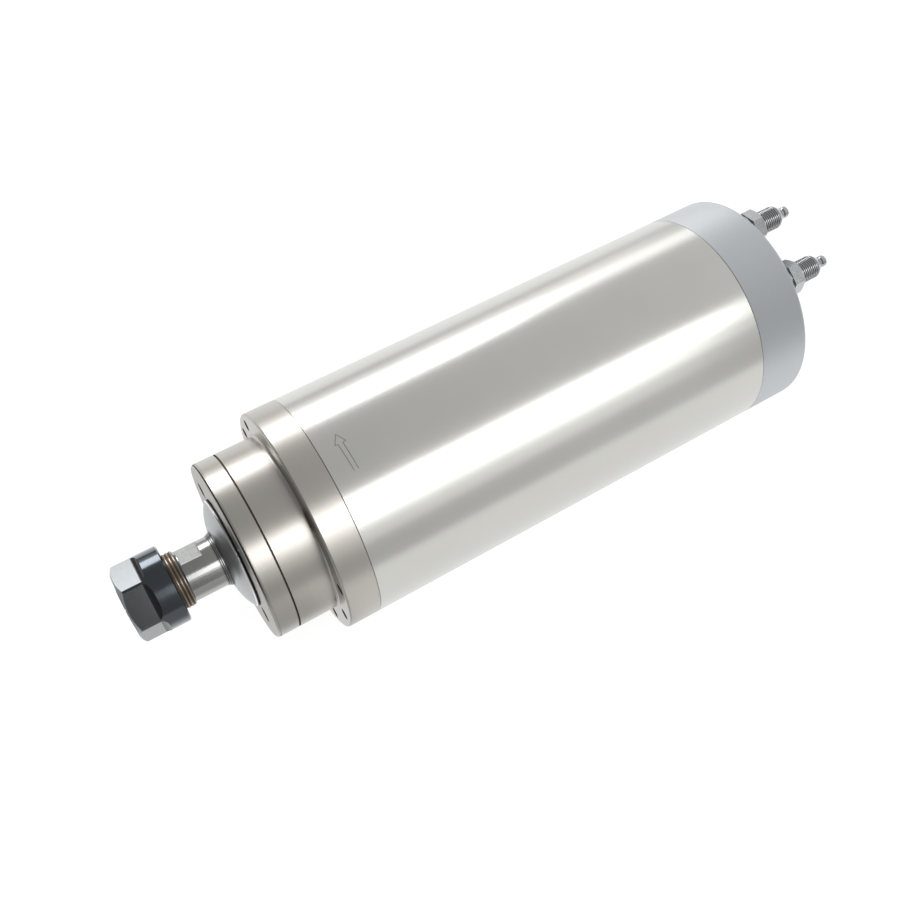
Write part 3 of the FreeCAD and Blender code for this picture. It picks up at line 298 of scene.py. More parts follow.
def table_glow(tree, mirror):
    """The table's own glow; mirror is 1 for the rays that find the corner dimmer."""
    along, across, _ = coordinates(tree)
    corner = reckon(tree, "MULTIPLY", fade(tree, along, *DIM_CORNER_X),
                    fade(tree, across, *DIM_CORNER_Y))
    dim = reckon(tree, "MULTIPLY", corner, mirror)
    glow = add_node(tree, "ShaderNodeEmission")
    strength = reckon(tree, "MULTIPLY_ADD", dim, -DIM_LOSS, FLOOR_GLOW)
    tree.links.new(strength, glow.inputs["Strength"])
    return glow.outputs["Emission"]


def floor_material():
    """Matt to the light, and paint with a glow to the camera and to mirror rays."""
    material = bpy.data.materials.new("floor_white")
    material.use_nodes = True
    tree = material.node_tree
    tree.nodes.clear()
    link = tree.links.new
    path = add_node(tree, "ShaderNodeLightPath").outputs
    mirror = reckon(tree, "MAXIMUM", path["Is Glossy Ray"], path["Is Transmission Ray"])
    seen = reckon(tree, "MAXIMUM", path["Is Camera Ray"], mirror)
    bright = add_node(tree, "ShaderNodeAddShader")
    link(diffuse(tree, FLOOR_PAINT), bright.inputs[0])
    link(table_glow(tree, mirror), bright.inputs[1])
    mix = add_node(tree, "ShaderNodeMixShader")
    link(seen, mix.inputs["Fac"])
    link(diffuse(tree, FLOOR_PLAIN), mix.inputs[1])
    link(bright.outputs["Shader"], mix.inputs[2])
    output = add_node(tree, "ShaderNodeOutputMaterial")
    link(mix.outputs["Shader"], output.inputs["Surface"])
    return material


def make_floor():
    """The table under the body. The table, staged so that it isn't part of the object."""
    bpy.ops.object.select_all(action="DESELECT")
    middle = (FLOOR_FRONT + FLOOR_REAR) / 2
    spread = FLOOR_REAR - FLOOR_FRONT
    bpy.ops.mesh.primitive_plane_add(size=1.0, location=(middle.x, middle.y, FLOOR_HEIGHT))
    floor = bpy.context.object
    floor.name = "floor"
    floor.scale = (spread.x, spread.y, 1.0)
    bpy.ops.object.transform_apply(location=True, rotation=False, scale=True)
    floor.data.materials.append(floor_material())
    return floor


floor = make_floor()
print("table", floor.name, "at", FLOOR_HEIGHT)

# %% [markdown]
# Everything on a spindle is turned, so its marks, bands and stains are easiest to place by
# how far along the axis they lie, how far from it, and at which angle round it. This group
# works those three out once, and every finish below asks it.

# %% Where a point lies on a turned part
def axis_place_group():
    """Along in metres, Radius in metres, Angle in degrees from +Y towards +Z."""
    group, _, leave = new_group("axis_place", [], ["Along", "Radius", "Angle"])
    x, y, z = coordinates(group)
    square = reckon(group, "ADD", reckon(group, "MULTIPLY", y, y),
                    reckon(group, "MULTIPLY", z, z))
    group.links.new(x, leave["Along"])
    group.links.new(reckon(group, "SQRT", square), leave["Radius"])
    group.links.new(reckon(group, "DEGREES", reckon(group, "ARCTAN2", z, y)), leave["Angle"])
    return group


AXIS_PLACE = axis_place_group()
print("group", AXIS_PLACE.name)

# %% [markdown]
# A band is 1 between two values and 0 outside, with a soft edge. Given a place along the
# axis it is a ring round the part, given a radius it is a ring on a face.

# %% Bands
def band_group():
    """1 where Value lies between Low and High, falling to 0 over the width Soft."""
    group, entry, leave = new_group(
        "band", [("Value", 0.0), ("Low", 0.0), ("High", 1.0), ("Soft", 0.0002)], ["Mask"]
    )
    sides = []
    for more, less in (("Value", "Low"), ("High", "Value")):
        past = reckon(group, "SUBTRACT", entry[more], entry[less])
        share = reckon(group, "DIVIDE", past, entry["Soft"])
        sides.append(reckon(group, "ADD", share, 0.5, clamp=True))
    group.links.new(reckon(group, "MULTIPLY", *sides), leave["Mask"])
    return group


BAND = band_group()
print("group", BAND.name)

# %% [markdown]
# Wrench flats are ground after turning, and so have a finish of their own. A point on a flat
# is known by its distance from the axis square to the flat. Folding the angle into half a
# step to each side of the nearest flat's middle gives that for a hexagon or a pair alike.

# %% Distance to the nearest flat
def flat_distance_group():
    """Distance from the axis, measured along the normal of the nearest flat."""
    group, entry, leave = new_group(
        "flat_distance",
        [("Radius", 0.0), ("Angle", 0.0), ("First normal", 0.0), ("Half step", 30.0)],
        ["Distance"],
    )
    turned = reckon(group, "SUBTRACT", entry["Angle"], entry["First normal"])
    low = reckon(group, "MULTIPLY", entry["Half step"], -1.0)
    folded = reckon(group, "WRAP", turned, entry["Half step"], low)
    across = reckon(group, "COSINE", reckon(group, "RADIANS", folded))
    group.links.new(reckon(group, "MULTIPLY", entry["Radius"], across), leave["Distance"])
    return group


FLAT_DISTANCE = flat_distance_group()
print("group", FLAT_DISTANCE.name)

# %% [markdown]
# Turned and ground steel carries fine rings round its axis. Seen close they are scratches;
# from a step back they only make the finish slightly uneven. One group draws them for every
# turned piece, faces too: a noise that changes quickly with the place along the axis plus
# the radius, and hardly at all round the axis.

# %% Turning marks
def noise_node(tree, detail, roughness):
    """A noise in three dimensions."""
    node = add_node(tree, "ShaderNodeTexNoise", noise_dimensions="3D")
    node.inputs["Detail"].default_value = detail
    node.inputs["Roughness"].default_value = roughness
    return node


def turning_marks_group():
    """Rings round X, between 0 and 1."""
    group, entry, leave = new_group(
        "turning_marks",
        [("Lines per metre", 900.0), ("Stretch", 0.02), ("Contrast", 1.0)],
        ["Lines"],
    )
    _, y, z = coordinates(group)
    joined = add_node(group, "ShaderNodeCombineXYZ")
    noise = noise_node(group, detail=4.0, roughness=0.65)
    noise.inputs["Scale"].default_value = 1.0
    axis = place_group(group, AXIS_PLACE)
    quick = reckon(group, "MULTIPLY", reckon(group, "ADD", axis["Along"], axis["Radius"]),
                   entry["Lines per metre"])
    slow = reckon(group, "MULTIPLY", entry["Lines per metre"], entry["Stretch"])
    group.links.new(quick, joined.inputs["X"])
    group.links.new(reckon(group, "MULTIPLY", y, slow), joined.inputs["Y"])
    group.links.new(reckon(group, "MULTIPLY", z, slow), joined.inputs["Z"])
    group.links.new(joined.outputs["Vector"], noise.inputs["Vector"])
    spread = reckon(group, "SUBTRACT", noise.outputs["Fac"], 0.5)
    lines = reckon(group, "MULTIPLY_ADD", spread, entry["Contrast"], 0.5, clamp=True)
    group.links.new(lines, leave["Lines"])
    return group


TURNING = turning_marks_group()
print("group", TURNING.name)

# %% [markdown]
# Handled steel is never one even grey. Broad soft patches of skin oil and polish shift its
# brightness and gloss by a few hundredths. A second noise group gives that mottling, and at
# a small scale the grain of a blasted or surface ground flat.

# %% Mottling and grain
def mottle_group():
    """Soft patches between 0 and 1."""
    group, entry, leave = new_group(
        "mottle", [("Size per metre", 40.0), ("Contrast", 1.0)], ["Patches"]
    )
    place = add_node(group, "ShaderNodeTexCoord")
    noise = noise_node(group, detail=3.0, roughness=0.55)
    group.links.new(place.outputs["Object"], noise.inputs["Vector"])
    group.links.new(entry["Size per metre"], noise.inputs["Scale"])
    spread = reckon(group, "SUBTRACT", noise.outputs["Fac"], 0.5)
    patches = reckon(group, "MULTIPLY_ADD", spread, entry["Contrast"], 0.5, clamp=True)
    group.links.new(patches, leave["Patches"])
    return group


MOTTLE = mottle_group()
print("group", MOTTLE.name)

# %% [markdown]
# A finish starts as an even metal and gets its local marks in layers, as on a workbench:
# each layer has a mask, a colour and a gloss. This small class keeps what has been laid so
# far, and joins it to the shader at the end.

# %% The finish recipe
ROUGH_GRAIN = (1500.0, 2.0)  # patches to a metre, contrast
SOFT = 0.1 * MM  # the usual soft edge of a mark
BEYOND = 1.0 * MM  # far enough past an edge to reach all of it


class Finish:
    """A material in the making, with the colour, roughness and relief laid so far."""

    def __init__(self, name, metallic=1.0):
        """Starts a Principled material that knows where its points lie."""
        self.material = bpy.data.materials.new(name)
        self.material.use_nodes = True
        self.tree = self.material.node_tree
        self.shader = self.tree.nodes["Principled BSDF"]
        self.shader.inputs["Metallic"].default_value = metallic
        place = place_group(self.tree, AXIS_PLACE)
        self.along, self.radius, self.angle = place["Along"], place["Radius"], place["Angle"]

    def reckon(self, operation, *values):
        """A math node in this material."""
        return reckon(self.tree, operation, *values)

    def meet(self, *masks):
        """The product of masks: 1 only where all of them are."""
        product = masks[0]
        for mask in masks[1:]:
            product = self.reckon("MULTIPLY", product, mask)
        return product

    def ranged(self, share, low, high):
        """The share from 0 to 1 carried to low to high."""
        return self.reckon("MULTIPLY_ADD", share, high - low, low)

    def band(self, value, low, high, soft=0.2 * MM):
        """1 where the value lies between low and high."""
        return place_group(self.tree, BAND, Value=value, Low=low, High=high, Soft=soft)["Mask"]

    def mottle(self, size, contrast=1.0):
        """Soft patches, so many to a metre."""
        return place_group(self.tree, MOTTLE, Size_per_metre=size, Contrast=contrast)["Patches"]

    def flats(self, first_normal, half_step):
        """Distance from the axis along the nearest flat's normal."""
        return place_group(self.tree, FLAT_DISTANCE, Radius=self.radius, Angle=self.angle,
                           First_normal=first_normal, Half_step=half_step)["Distance"]

    def blend_color(self, mask, under, color):
        """From one colour to the other by the mask; each is a tuple or a socket."""
        node = add_node(self.tree, "ShaderNodeMix", data_type="RGBA")
        for name, value in (("A", under), ("B", color)):
            if isinstance(value, tuple):
                node.inputs[name].default_value = (*value, 1.0)
            else:
                self.tree.links.new(value, node.inputs[name])
        self.tree.links.new(mask, node.inputs["Factor"])
        return node.outputs["Result"]

    def base(self, dark, light, rough, lines=900.0, patches=40.0, ring_share=0.5):
        """Two close tones that swing with turning marks and mottling, and gloss with them."""
        rings = place_group(self.tree, TURNING, Lines_per_metre=lines)["Lines"]
        cloud = self.mottle(patches)
        share = self.reckon("ADD", self.reckon("MULTIPLY", rings, ring_share),
                            self.reckon("MULTIPLY", cloud, 1.0 - ring_share))
        self.color = self.blend_color(share, dark, light)
        self.rough = self.ranged(share, *rough)
        self.height = rings
        return self

    def over(self, mask, color, rough, strength=1.0):
        """Lays a colour and a roughness over the finish where the mask is 1."""
        mask = self.meet(mask, strength)
        self.color = self.blend_color(mask, self.color, color)
        keep = self.reckon("SUBTRACT", 1.0, mask)
        kept = self.reckon("MULTIPLY", self.rough, keep)
        if isinstance(rough, tuple):
            rough = self.ranged(self.mottle(*ROUGH_GRAIN), *rough)
        self.rough = self.reckon("ADD", kept, self.reckon("MULTIPLY", mask, rough))
        return self

    def done(self, bump=0.02):
        """Joins what has been laid to the shader, with the rings as relief."""
        self.tree.links.new(self.color, self.shader.inputs["Base Color"])
        self.tree.links.new(self.rough, self.shader.inputs["Roughness"])
        relief = add_node(self.tree, "ShaderNodeBump")
        relief.inputs["Strength"].default_value = bump
        relief.inputs["Distance"].default_value = 0.1 * MM
        self.tree.links.new(self.height, relief.inputs["Height"])
        self.tree.links.new(relief.outputs["Normal"], self.shader.inputs["Normal"])
        return self.material


print("recipe ready")

# %% [markdown]
# The rotation arrow is etched on the sleeve as a hollow outline. It is drawn on the
# unrolled body, where a place is its X and the length of arc round the axis. A stroke is
# every point nearer to a line than half its width, and six strokes make the arrow.

# %% A stroke on the unrolled body
BODY_RADIUS = 50.0 * MM
STROKE_SOFT = 0.08 * MM


def stroke_group():
    """1 within Half width of the line from one end to the other, on the unrolled body."""
    group, entry, leave = new_group(
        "stroke",
        [("Along", 0.0), ("Arc", 0.0), ("Start along", 0.0), ("Start arc", 0.0),
         ("End along", 0.0), ("End arc", 0.0), ("Half width", 0.0002)],
        ["Mask"],
    )

    def less(first, second):
        return reckon(group, "SUBTRACT", first, second)

    def dot(first, second):
        products = [reckon(group, "MULTIPLY", *pair) for pair in zip(first, second)]
        return reckon(group, "ADD", *products)

    begin = (entry["Start along"], entry["Start arc"])
    end = (entry["End along"], entry["End arc"])
    point = (entry["Along"], entry["Arc"])
    run = [less(*pair) for pair in zip(end, begin)]
    reach = [less(*pair) for pair in zip(point, begin)]
    share = reckon(group, "DIVIDE", dot(reach, run), dot(run, run), clamp=True)
    off = [less(part, reckon(group, "MULTIPLY", whole, share)) for part, whole in zip(reach, run)]
    away = reckon(group, "SQRT", dot(off, off))
    inside = reckon(group, "DIVIDE", less(entry["Half width"], away), STROKE_SOFT)
    group.links.new(reckon(group, "ADD", inside, 0.5, clamp=True), leave["Mask"])
    return group


STROKE = stroke_group()
print("group", STROKE.name)

# %% [markdown]
# The sleeve is stainless steel, ground between wheels: one soft silver with a warm breath,
# fine rings, and hardly any relief. The rotation arrow is matt and grey in it, and its foot
# is left open.

# %% The ground sleeve
ARROW_HALF_WIDTH = 0.16 * MM
ARROW_CORNERS = [  # along the axis in mm, angle round it in degrees
    (25.1, 111.2), (24.8, 97.2), (26.2, 96.9), (24.0, 92.0), (21.5, 96.9), (22.7, 97.2),
    (23.2, 111.2),
]
ARROW_GREY = (0.17, 0.17, 0.16)
SLEEVE_FRONT = 14.1 * MM
SLEEVE_REAR = 211.6 * MM
SEAM_LINE = 0.18 * MM
SEAM_DIRT = (0.16, 0.14, 0.12)
SEAM_STRENGTH = 0.2


def ground_sleeve():
    """The sleeve's finish, with the arrow and the dirt at its two seams."""
    finish = Finish("ground_stainless")
    finish.base((0.555, 0.552, 0.522), (0.610, 0.606, 0.576), (0.215, 0.245), lines=2600.0,
                ring_share=0.35)
    arc = finish.reckon("MULTIPLY", finish.reckon("RADIANS", finish.angle), BODY_RADIUS)
    mark = 0.0
    places = [(x * MM, math.radians(turn) * BODY_RADIUS) for x, turn in ARROW_CORNERS]
    for start, end in zip(places, places[1:]):
        stroke = place_group(finish.tree, STROKE, Along=finish.along, Arc=arc,
                             Start_along=start[0], Start_arc=start[1], End_along=end[0],
                             End_arc=end[1], Half_width=ARROW_HALF_WIDTH)
        mark = finish.reckon("MAXIMUM", mark, stroke["Mask"])
    finish.over(mark, ARROW_GREY, 0.5, strength=0.85)
    front_edge = finish.band(finish.along, SLEEVE_FRONT - BEYOND, SLEEVE_FRONT + SEAM_LINE)
    rear_edge = finish.band(finish.along, SLEEVE_REAR - SEAM_LINE, SLEEVE_REAR + BEYOND)
    edges = finish.reckon("MAXIMUM", front_edge, rear_edge)
    finish.over(edges, SEAM_DIRT, 0.35, SEAM_STRENGTH)
    return finish.done(bump=0.008)


ground_steel = ground_sleeve()
print("sleeve", ground_steel.name)

# %% [markdown]
# The nose, its cap and the flange are finely turned steel with a warmer, slightly brown grey.
# Coolant has dried in the seam between cap and nose. The fine groove behind the cap's rounded
# edge gets painted shade on its upper side, the cap's face is darker, partly by its own tone and
# partly by painted shade from the slinger, and a faint brown patch is left on the ring face.

# %% The turned front
NOSE_RADIUS = 40.0 * MM
CAP_SEAM = -17.9 * MM
SEAM_HALF = 0.45 * MM
CAP_GROOVE = (-27.5 * MM, -26.95 * MM)
CAP_GROOVE_TURN = (30.0, 152.0)
CAP_FACE = (-29.0 * MM, -27.9 * MM)
RING_FACE = (-0.6 * MM, 0.1 * MM)
FACE_SOFT = 0.05 * MM
STAIN_TURN = (116.5, 128.5)
DRIED_COOLANT = (0.15, 0.12, 0.09)
GROOVE_PAINTED_SHADE = (0.06, 0.055, 0.05)
CAP_FACE_TONE_AND_SHADE = (0.30, 0.29, 0.27)
STAIN_BROWN = (0.17, 0.105, 0.075)


def turned_front():
    """The finish of nose, cap and flange: seam dirt, painted shade in the cap's groove and partly
    on its face, and the stain.
    """
    finish = Finish("front_steel")
    finish.base((0.449, 0.431, 0.398), (0.514, 0.494, 0.460), (0.28, 0.33), lines=1600.0,
                ring_share=0.45)
    below = finish.band(finish.radius, 0.0, NOSE_RADIUS - 0.1 * MM, SOFT)
    seam = finish.band(finish.along, CAP_SEAM - SEAM_HALF, CAP_SEAM + SEAM_HALF, SOFT)
    finish.over(finish.meet(below, seam), DRIED_COOLANT, 0.6)
    # Painted shade in the fine groove behind the cap's rounded edge, on its upper side only.
    near_edge = finish.band(finish.radius, NOSE_RADIUS - 0.6 * MM, NOSE_RADIUS + BEYOND, SOFT)
    groove = finish.meet(near_edge, finish.band(finish.along, *CAP_GROOVE, SOFT),
                         finish.band(finish.angle, *CAP_GROOVE_TURN, 20.0))
    finish.over(groove, GROOVE_PAINTED_SHADE, 0.5)
    # The cap's face is darker: partly its own turned tone, partly painted shade from the slinger.
    cap_face = finish.band(finish.along, *CAP_FACE, FACE_SOFT)
    finish.over(cap_face, CAP_FACE_TONE_AND_SHADE, 0.4, strength=0.6)
    face = finish.band(finish.along, *RING_FACE, FACE_SOFT)
    patch = finish.band(finish.angle, *STAIN_TURN, 4.0)
    finish.over(finish.meet(face, patch), STAIN_BROWN, 0.35, strength=0.85)
    edge = finish.band(finish.along, SLEEVE_FRONT - SEAM_LINE, SLEEVE_FRONT + BEYOND)
    finish.over(edge, SEAM_DIRT, 0.35, SEAM_STRENGTH)
    return finish.done(bump=0.012)


front_steel = turned_front()
print("front", front_steel.name)

# %% [markdown]
# The rear cover is aluminium with a fine matt skin: cooler in tone, and so rough that the
# back row of soft boxes melts into one broad shine.

# %% The rear cover
COVER_SEAM_GREY = (0.20, 0.20, 0.20)


def satin_cover():
    """The cover's finish, a little darker at its seam with the sleeve."""
    finish = Finish("cover_aluminium")
    finish.base((0.560, 0.583, 0.602), (0.605, 0.628, 0.647), (0.46, 0.52), lines=1200.0,
                patches=60.0, ring_share=0.3)
    edge = finish.band(finish.along, SLEEVE_REAR - BEYOND, SLEEVE_REAR + 0.15 * MM)
    finish.over(edge, COVER_SEAM_GREY, 0.5, strength=0.4)
    return finish.done(bump=0.02)


cover_aluminium = satin_cover()
print("cover", cover_aluminium.name)

# %% [markdown]
# The shaft's neck is polished and darker than the casing. Its two wrench flats are blasted to a
# light grain with a painted highlight along their edges, the thread in front holds brown grease,
# and the fine rings beside the slinger get painted shade between their crests.

# %% The polished shaft
FLAT_NORMAL = 62.5
FLAT_LEVEL = 9.5 * MM
FLAT_ENDS = (-49.4 * MM, -40.2 * MM)
THREAD_ENDS = (-68.5 * MM, -50.5 * MM)
THREAD_PITCH = 1.5 * MM
SHADED_RING_ENDS = (-35.75 * MM, -33.4 * MM)
RING_FRONT = -35.7 * MM
RING_PITCH = 0.75 * MM
RING_LINE = 0.2 * MM
NECK_RADIUS = 11.2 * MM
GRAIN_TONES = ((0.325, 0.33, 0.325), (0.485, 0.49, 0.485))
FLAT_EDGE_PAINTED_HIGHLIGHT = (0.85, 0.85, 0.85)
GREASE_BROWN = (0.13, 0.085, 0.05)
RING_GROOVE_PAINTED_SHADE = (0.05, 0.05, 0.05)


def polished_shaft():
    """The shaft's finish: blasted flats with painted highlights on their edges, grease, and
    painted shade in the fine rings.
    """
    finish = Finish("shaft_steel")
    finish.base((0.375, 0.373, 0.370), (0.425, 0.423, 0.418), (0.15, 0.20), lines=2000.0)
    near_flat = finish.band(finish.flats(FLAT_NORMAL, 90.0), FLAT_LEVEL - 0.04 * MM,
                            FLAT_LEVEL + 0.2 * MM, 0.02 * MM)
    flat = finish.meet(near_flat, finish.band(finish.along, *FLAT_ENDS, SOFT))
    grain = finish.blend_color(finish.mottle(1700.0, 2.6), *GRAIN_TONES)
    finish.over(flat, grain, (0.42, 0.60))
    # A painted highlight along the edges where the flats meet the round neck.
    flat_edge = finish.band(finish.radius, NECK_RADIUS - 0.22 * MM, NECK_RADIUS + 0.2 * MM,
                            0.08 * MM)
    finish.over(finish.meet(flat, flat_edge), FLAT_EDGE_PAINTED_HIGHLIGHT, 0.2)
    finish.over(finish.band(finish.along, *THREAD_ENDS, SOFT), GREASE_BROWN, (0.35, 0.60))
    # Painted shade between the crests of the fine rings beside the slinger.
    past_front = finish.reckon("SUBTRACT", finish.along, RING_FRONT)
    phase = finish.reckon("WRAP", past_front, RING_PITCH, 0.0)
    crest = finish.band(phase, 0.0, RING_LINE, 0.05 * MM)
    between = finish.reckon("SUBTRACT", 1.0, crest)
    ring_groove_shade = finish.meet(finish.band(finish.along, *SHADED_RING_ENDS, SOFT), between)
    finish.over(ring_groove_shade, RING_GROOVE_PAINTED_SHADE, 0.3, strength=0.85)
    return finish.done(bump=0.02)


shaft_steel = polished_shaft()
print("shaft", shaft_steel.name)

# %% [markdown]
# The slinger turns with the shaft but is left with a satin skin. Its rim carries a painted
# highlight, and its rear, in the narrow space behind it, gets painted shade.

# %% The slinger
SLINGER_RIM = 24.6 * MM
SLINGER_REAR = -28.9 * MM
RIM_PAINTED_HIGHLIGHT = (0.70, 0.70, 0.70)
GAP_PAINTED_SHADE = (0.10, 0.10, 0.10)


def satin_slinger():
    """The slinger's finish, with a painted highlight at the rim and painted shade behind."""
    finish = Finish("slinger_steel")
    finish.base((0.440, 0.448, 0.455), (0.480, 0.488, 0.495), (0.34, 0.37), lines=1500.0)
    # A painted highlight along the slinger's rim.
    rim = finish.band(finish.radius, SLINGER_RIM - 0.55 * MM, SLINGER_RIM + 0.3 * MM, 0.2 * MM)
    finish.over(rim, RIM_PAINTED_HIGHLIGHT, 0.15)
    # Painted shade on the slinger's rear, in the narrow space behind it.
    finish.over(finish.band(finish.along, SLINGER_REAR, 0.0, SOFT), GAP_PAINTED_SHADE, 0.5)
    return finish.done(bump=0.01)


slinger_steel = satin_slinger()
print("slinger", slinger_steel.name)

# %% [markdown]
# The clamping nut is black oxide with a bluish shine. Its six flats were ground bare
# afterwards and have gone a faint cool grey, while the crescents where the cutter ran out
# stay nearly black.

# %% The clamping nut
NUT_FLAT_NORMAL = 71.0
NUT_FLAT_LEVEL = 15.0 * MM
NUT_FLAT_END = -65.95 * MM
CRESCENT_ENDS = (-65.95 * MM, -63.0 * MM)
NUT_RADIUS = 17.0 * MM
NUT_AHEAD = -100.0 * MM
NUT_GROUND = ((0.108, 0.117, 0.121), (0.145, 0.156, 0.161))
CRESCENT_BLACK = (0.03, 0.03, 0.035)


def oxide_nut():
    """The nut's finish under a thin clear coat of oil."""
    finish = Finish("nut_black_oxide")
    finish.base((0.080, 0.094, 0.107), (0.100, 0.116, 0.131), (0.15, 0.19), lines=1400.0)
    level = finish.flats(NUT_FLAT_NORMAL, 30.0)
    near_flat = finish.band(level, NUT_FLAT_LEVEL - 0.03 * MM, NUT_FLAT_LEVEL + 0.2 * MM,
                            0.02 * MM)
    hexagon = finish.band(finish.along, NUT_AHEAD, NUT_FLAT_END, SOFT)
    ground = finish.blend_color(finish.mottle(2200.0, 2.0), *NUT_GROUND)
    finish.over(finish.meet(near_flat, hexagon), ground, (0.15, 0.19))
    run_out = finish.band(finish.along, *CRESCENT_ENDS, SOFT)
    below = finish.band(finish.radius, 0.0, NUT_RADIUS - 0.05 * MM, 0.05 * MM)
    finish.over(finish.meet(run_out, below), CRESCENT_BLACK, 0.5)
    finish.shader.inputs["Coat Weight"].default_value = 0.6
    finish.shader.inputs["Coat Roughness"].default_value = 0.12
    return finish.done(bump=0.01)


nut_steel = oxide_nut()
print("nut", nut_steel.name)

# %% [markdown]
# The hose fittings are bright plated brass, a little uneven where the plating follows the
# machining, and the valleys of their threads get painted shade. A point's distance from its own
# fitting's axis is the smaller one of its distances from the two.

# %% The plated fittings
FITTING_PITCH_RADIUS = 42.0 * MM
FITTING_ANGLES = {"hose_thread_a": 82.5, "hose_thread_b": 123.0}
FITTING_ROD_RADIUS = 5.0 * MM
FITTING_THREAD_ENDS = (243.7 * MM, 254.0 * MM)
THREAD_VALLEY_PAINTED_SHADE = (0.19, 0.195, 0.20)


def fitting_place(name):
    """Where a fitting's axis crosses Y and Z."""
    turn = math.radians(FITTING_ANGLES[name])
    return FITTING_PITCH_RADIUS * math.cos(turn), FITTING_PITCH_RADIUS * math.sin(turn)


def fitting_radius_group():
    """Distance from the nearer fitting's axis."""
    group, _, leave = new_group("fitting_radius", [], ["Radius"])
    _, y, z = coordinates(group)
    nearest = 1.0
    for name in FITTING_ANGLES:
        axis_y, axis_z = fitting_place(name)
        off_y = reckon(group, "SUBTRACT", y, axis_y)
        off_z = reckon(group, "SUBTRACT", z, axis_z)
        square = reckon(group, "ADD", reckon(group, "MULTIPLY", off_y, off_y),
                        reckon(group, "MULTIPLY", off_z, off_z))
        nearest = reckon(group, "MINIMUM", nearest, reckon(group, "SQRT", square))
    group.links.new(nearest, leave["Radius"])
    return group


FITTING_RADIUS = fitting_radius_group()


def plated_fitting():
    """The fittings' plating, with painted shade in the valleys of the thread."""
    finish = Finish("plated_brass")
    finish.base((0.40, 0.415, 0.425), (0.49, 0.505, 0.515), (0.16, 0.26), lines=1500.0,
                patches=500.0, ring_share=0.2)
    radius = place_group(finish.tree, FITTING_RADIUS)["Radius"]
    # Painted shade in the valleys of the fittings' threads.
    low = finish.band(radius, 0.0, FITTING_ROD_RADIUS + 0.15 * MM, 0.06 * MM)
    thread = finish.band(finish.along, *FITTING_THREAD_ENDS, SOFT)
    finish.over(finish.meet(low, thread), THREAD_VALLEY_PAINTED_SHADE, 0.4, strength=0.7)
    return finish.done(bump=0.02)


plated = plated_fitting()
print("fittings", plated.name)

# %% [markdown]
# The other metals are inside or behind, and still get what they are made of: laminated
# iron shows its sheets, copper its red, the collet its grey.

# %% Hidden metals
def metal(name, dark, light, rough, lines=900.0, bump=0.02, patches=40.0, metallic=1.0,
          ring_share=0.5):
    """An even turned metal: dark and light are its two tones, rough its two roughness values."""
    finish = Finish(name, metallic)
    finish.base(dark, light, rough, lines, patches, ring_share)
    return finish.done(bump)


collet_steel = metal("collet_steel", (0.60, 0.61, 0.62), (0.68, 0.69, 0.70), (0.15, 0.22))
jacket_metal = metal("jacket_aluminium", (0.60, 0.61, 0.62), (0.68, 0.69, 0.70), (0.30, 0.40))
bearing_metal = metal("bearing_steel", (0.66, 0.67, 0.69), (0.74, 0.75, 0.77), (0.06, 0.10))
lamination = metal("lamination", (0.20, 0.21, 0.23), (0.34, 0.35, 0.37), (0.45, 0.60),
                   lines=2000.0, bump=0.2, ring_share=1.0)
copper = metal("copper", (0.55, 0.24, 0.12), (0.78, 0.42, 0.24), (0.30, 0.45), lines=700.0)
cast_metal = metal("cast_aluminium", (0.58, 0.59, 0.60), (0.68, 0.69, 0.70), (0.40, 0.55))
connector_metal = metal("connector_metal", (0.58, 0.59, 0.61), (0.66, 0.67, 0.69), (0.22, 0.30))
contact_metal = metal("contact_metal", (0.78, 0.60, 0.26), (0.86, 0.70, 0.36), (0.12, 0.20))
screw_metal = metal("screw_steel", (0.10, 0.10, 0.11), (0.16, 0.16, 0.17), (0.30, 0.42),
                    metallic=0.9)
print("metals", len(bpy.data.materials))

# %% [markdown]
# Rubber and the connector's insulator aren't metal. They take the same recipe with no
# metal in it, a finer grain and more relief.

# %% Rubber and plastic
def plain(name, dark, light, rough):
    """A moulded rubber or plastic with a fine grain."""
    return metal(name, dark, light, rough, lines=3000.0, bump=0.1, patches=300.0, metallic=0.0,
                 ring_share=0.0)


seal_rubber = plain("seal_rubber", (0.03, 0.03, 0.03), (0.06, 0.06, 0.06), (0.55, 0.7))
insulator = plain("insulator", (0.05, 0.05, 0.06), (0.08, 0.08, 0.09), (0.4, 0.5))
print("plastics", seal_rubber.name, insulator.name)

# %% [markdown]
# The record names a material slot for each node. Each slot gets its finish, and the slinger,
# which shares the shaft's steel but not its polish, gets its own.

# %% Dress the nodes
FINISHES = {
    "front_steel": front_steel,
    "ground_stainless": ground_steel,
    "cover_aluminium": cover_aluminium,
    "jacket_aluminium": jacket_metal,
    "shaft_steel": shaft_steel,
    "nut_black_oxide": nut_steel,
    "collet_steel": collet_steel,
    "bearing_steel": bearing_metal,
    "lamination": lamination,
    "copper": copper,
    "cast_aluminium": cast_metal,
    "seal_rubber": seal_rubber,
    "plated_brass": plated,
    "connector_metal": connector_metal,
    "insulator": insulator,
    "contact_metal": contact_metal,
    "screw_steel": screw_metal,
}
OWN_FINISHES = {"dust_slinger": slinger_steel}


def dress_nodes():
    """Gives every node of the frame its finish."""
    for part in frame["record"]["subparts"]:
        node = NODES[part["node"]]
        finish = OWN_FINISHES.get(part["node"], FINISHES[part["material_slot"]])
        node.data.materials.clear()
        node.data.materials.append(finish)


dress_nodes()
print("finishes", len(FINISHES) + len(OWN_FINISHES))

# %% [markdown]
# The solids carry threads as plain rods. The real ones are a ridge wound round the rod, so
# each is made as one: a four-sided outline is swept by the Screw modifier round X, the ends
# are closed, and half of the outline stays inside the rod, which leaves a pointed crest.

# %% A wound ridge
SCREW_STEPS = 40


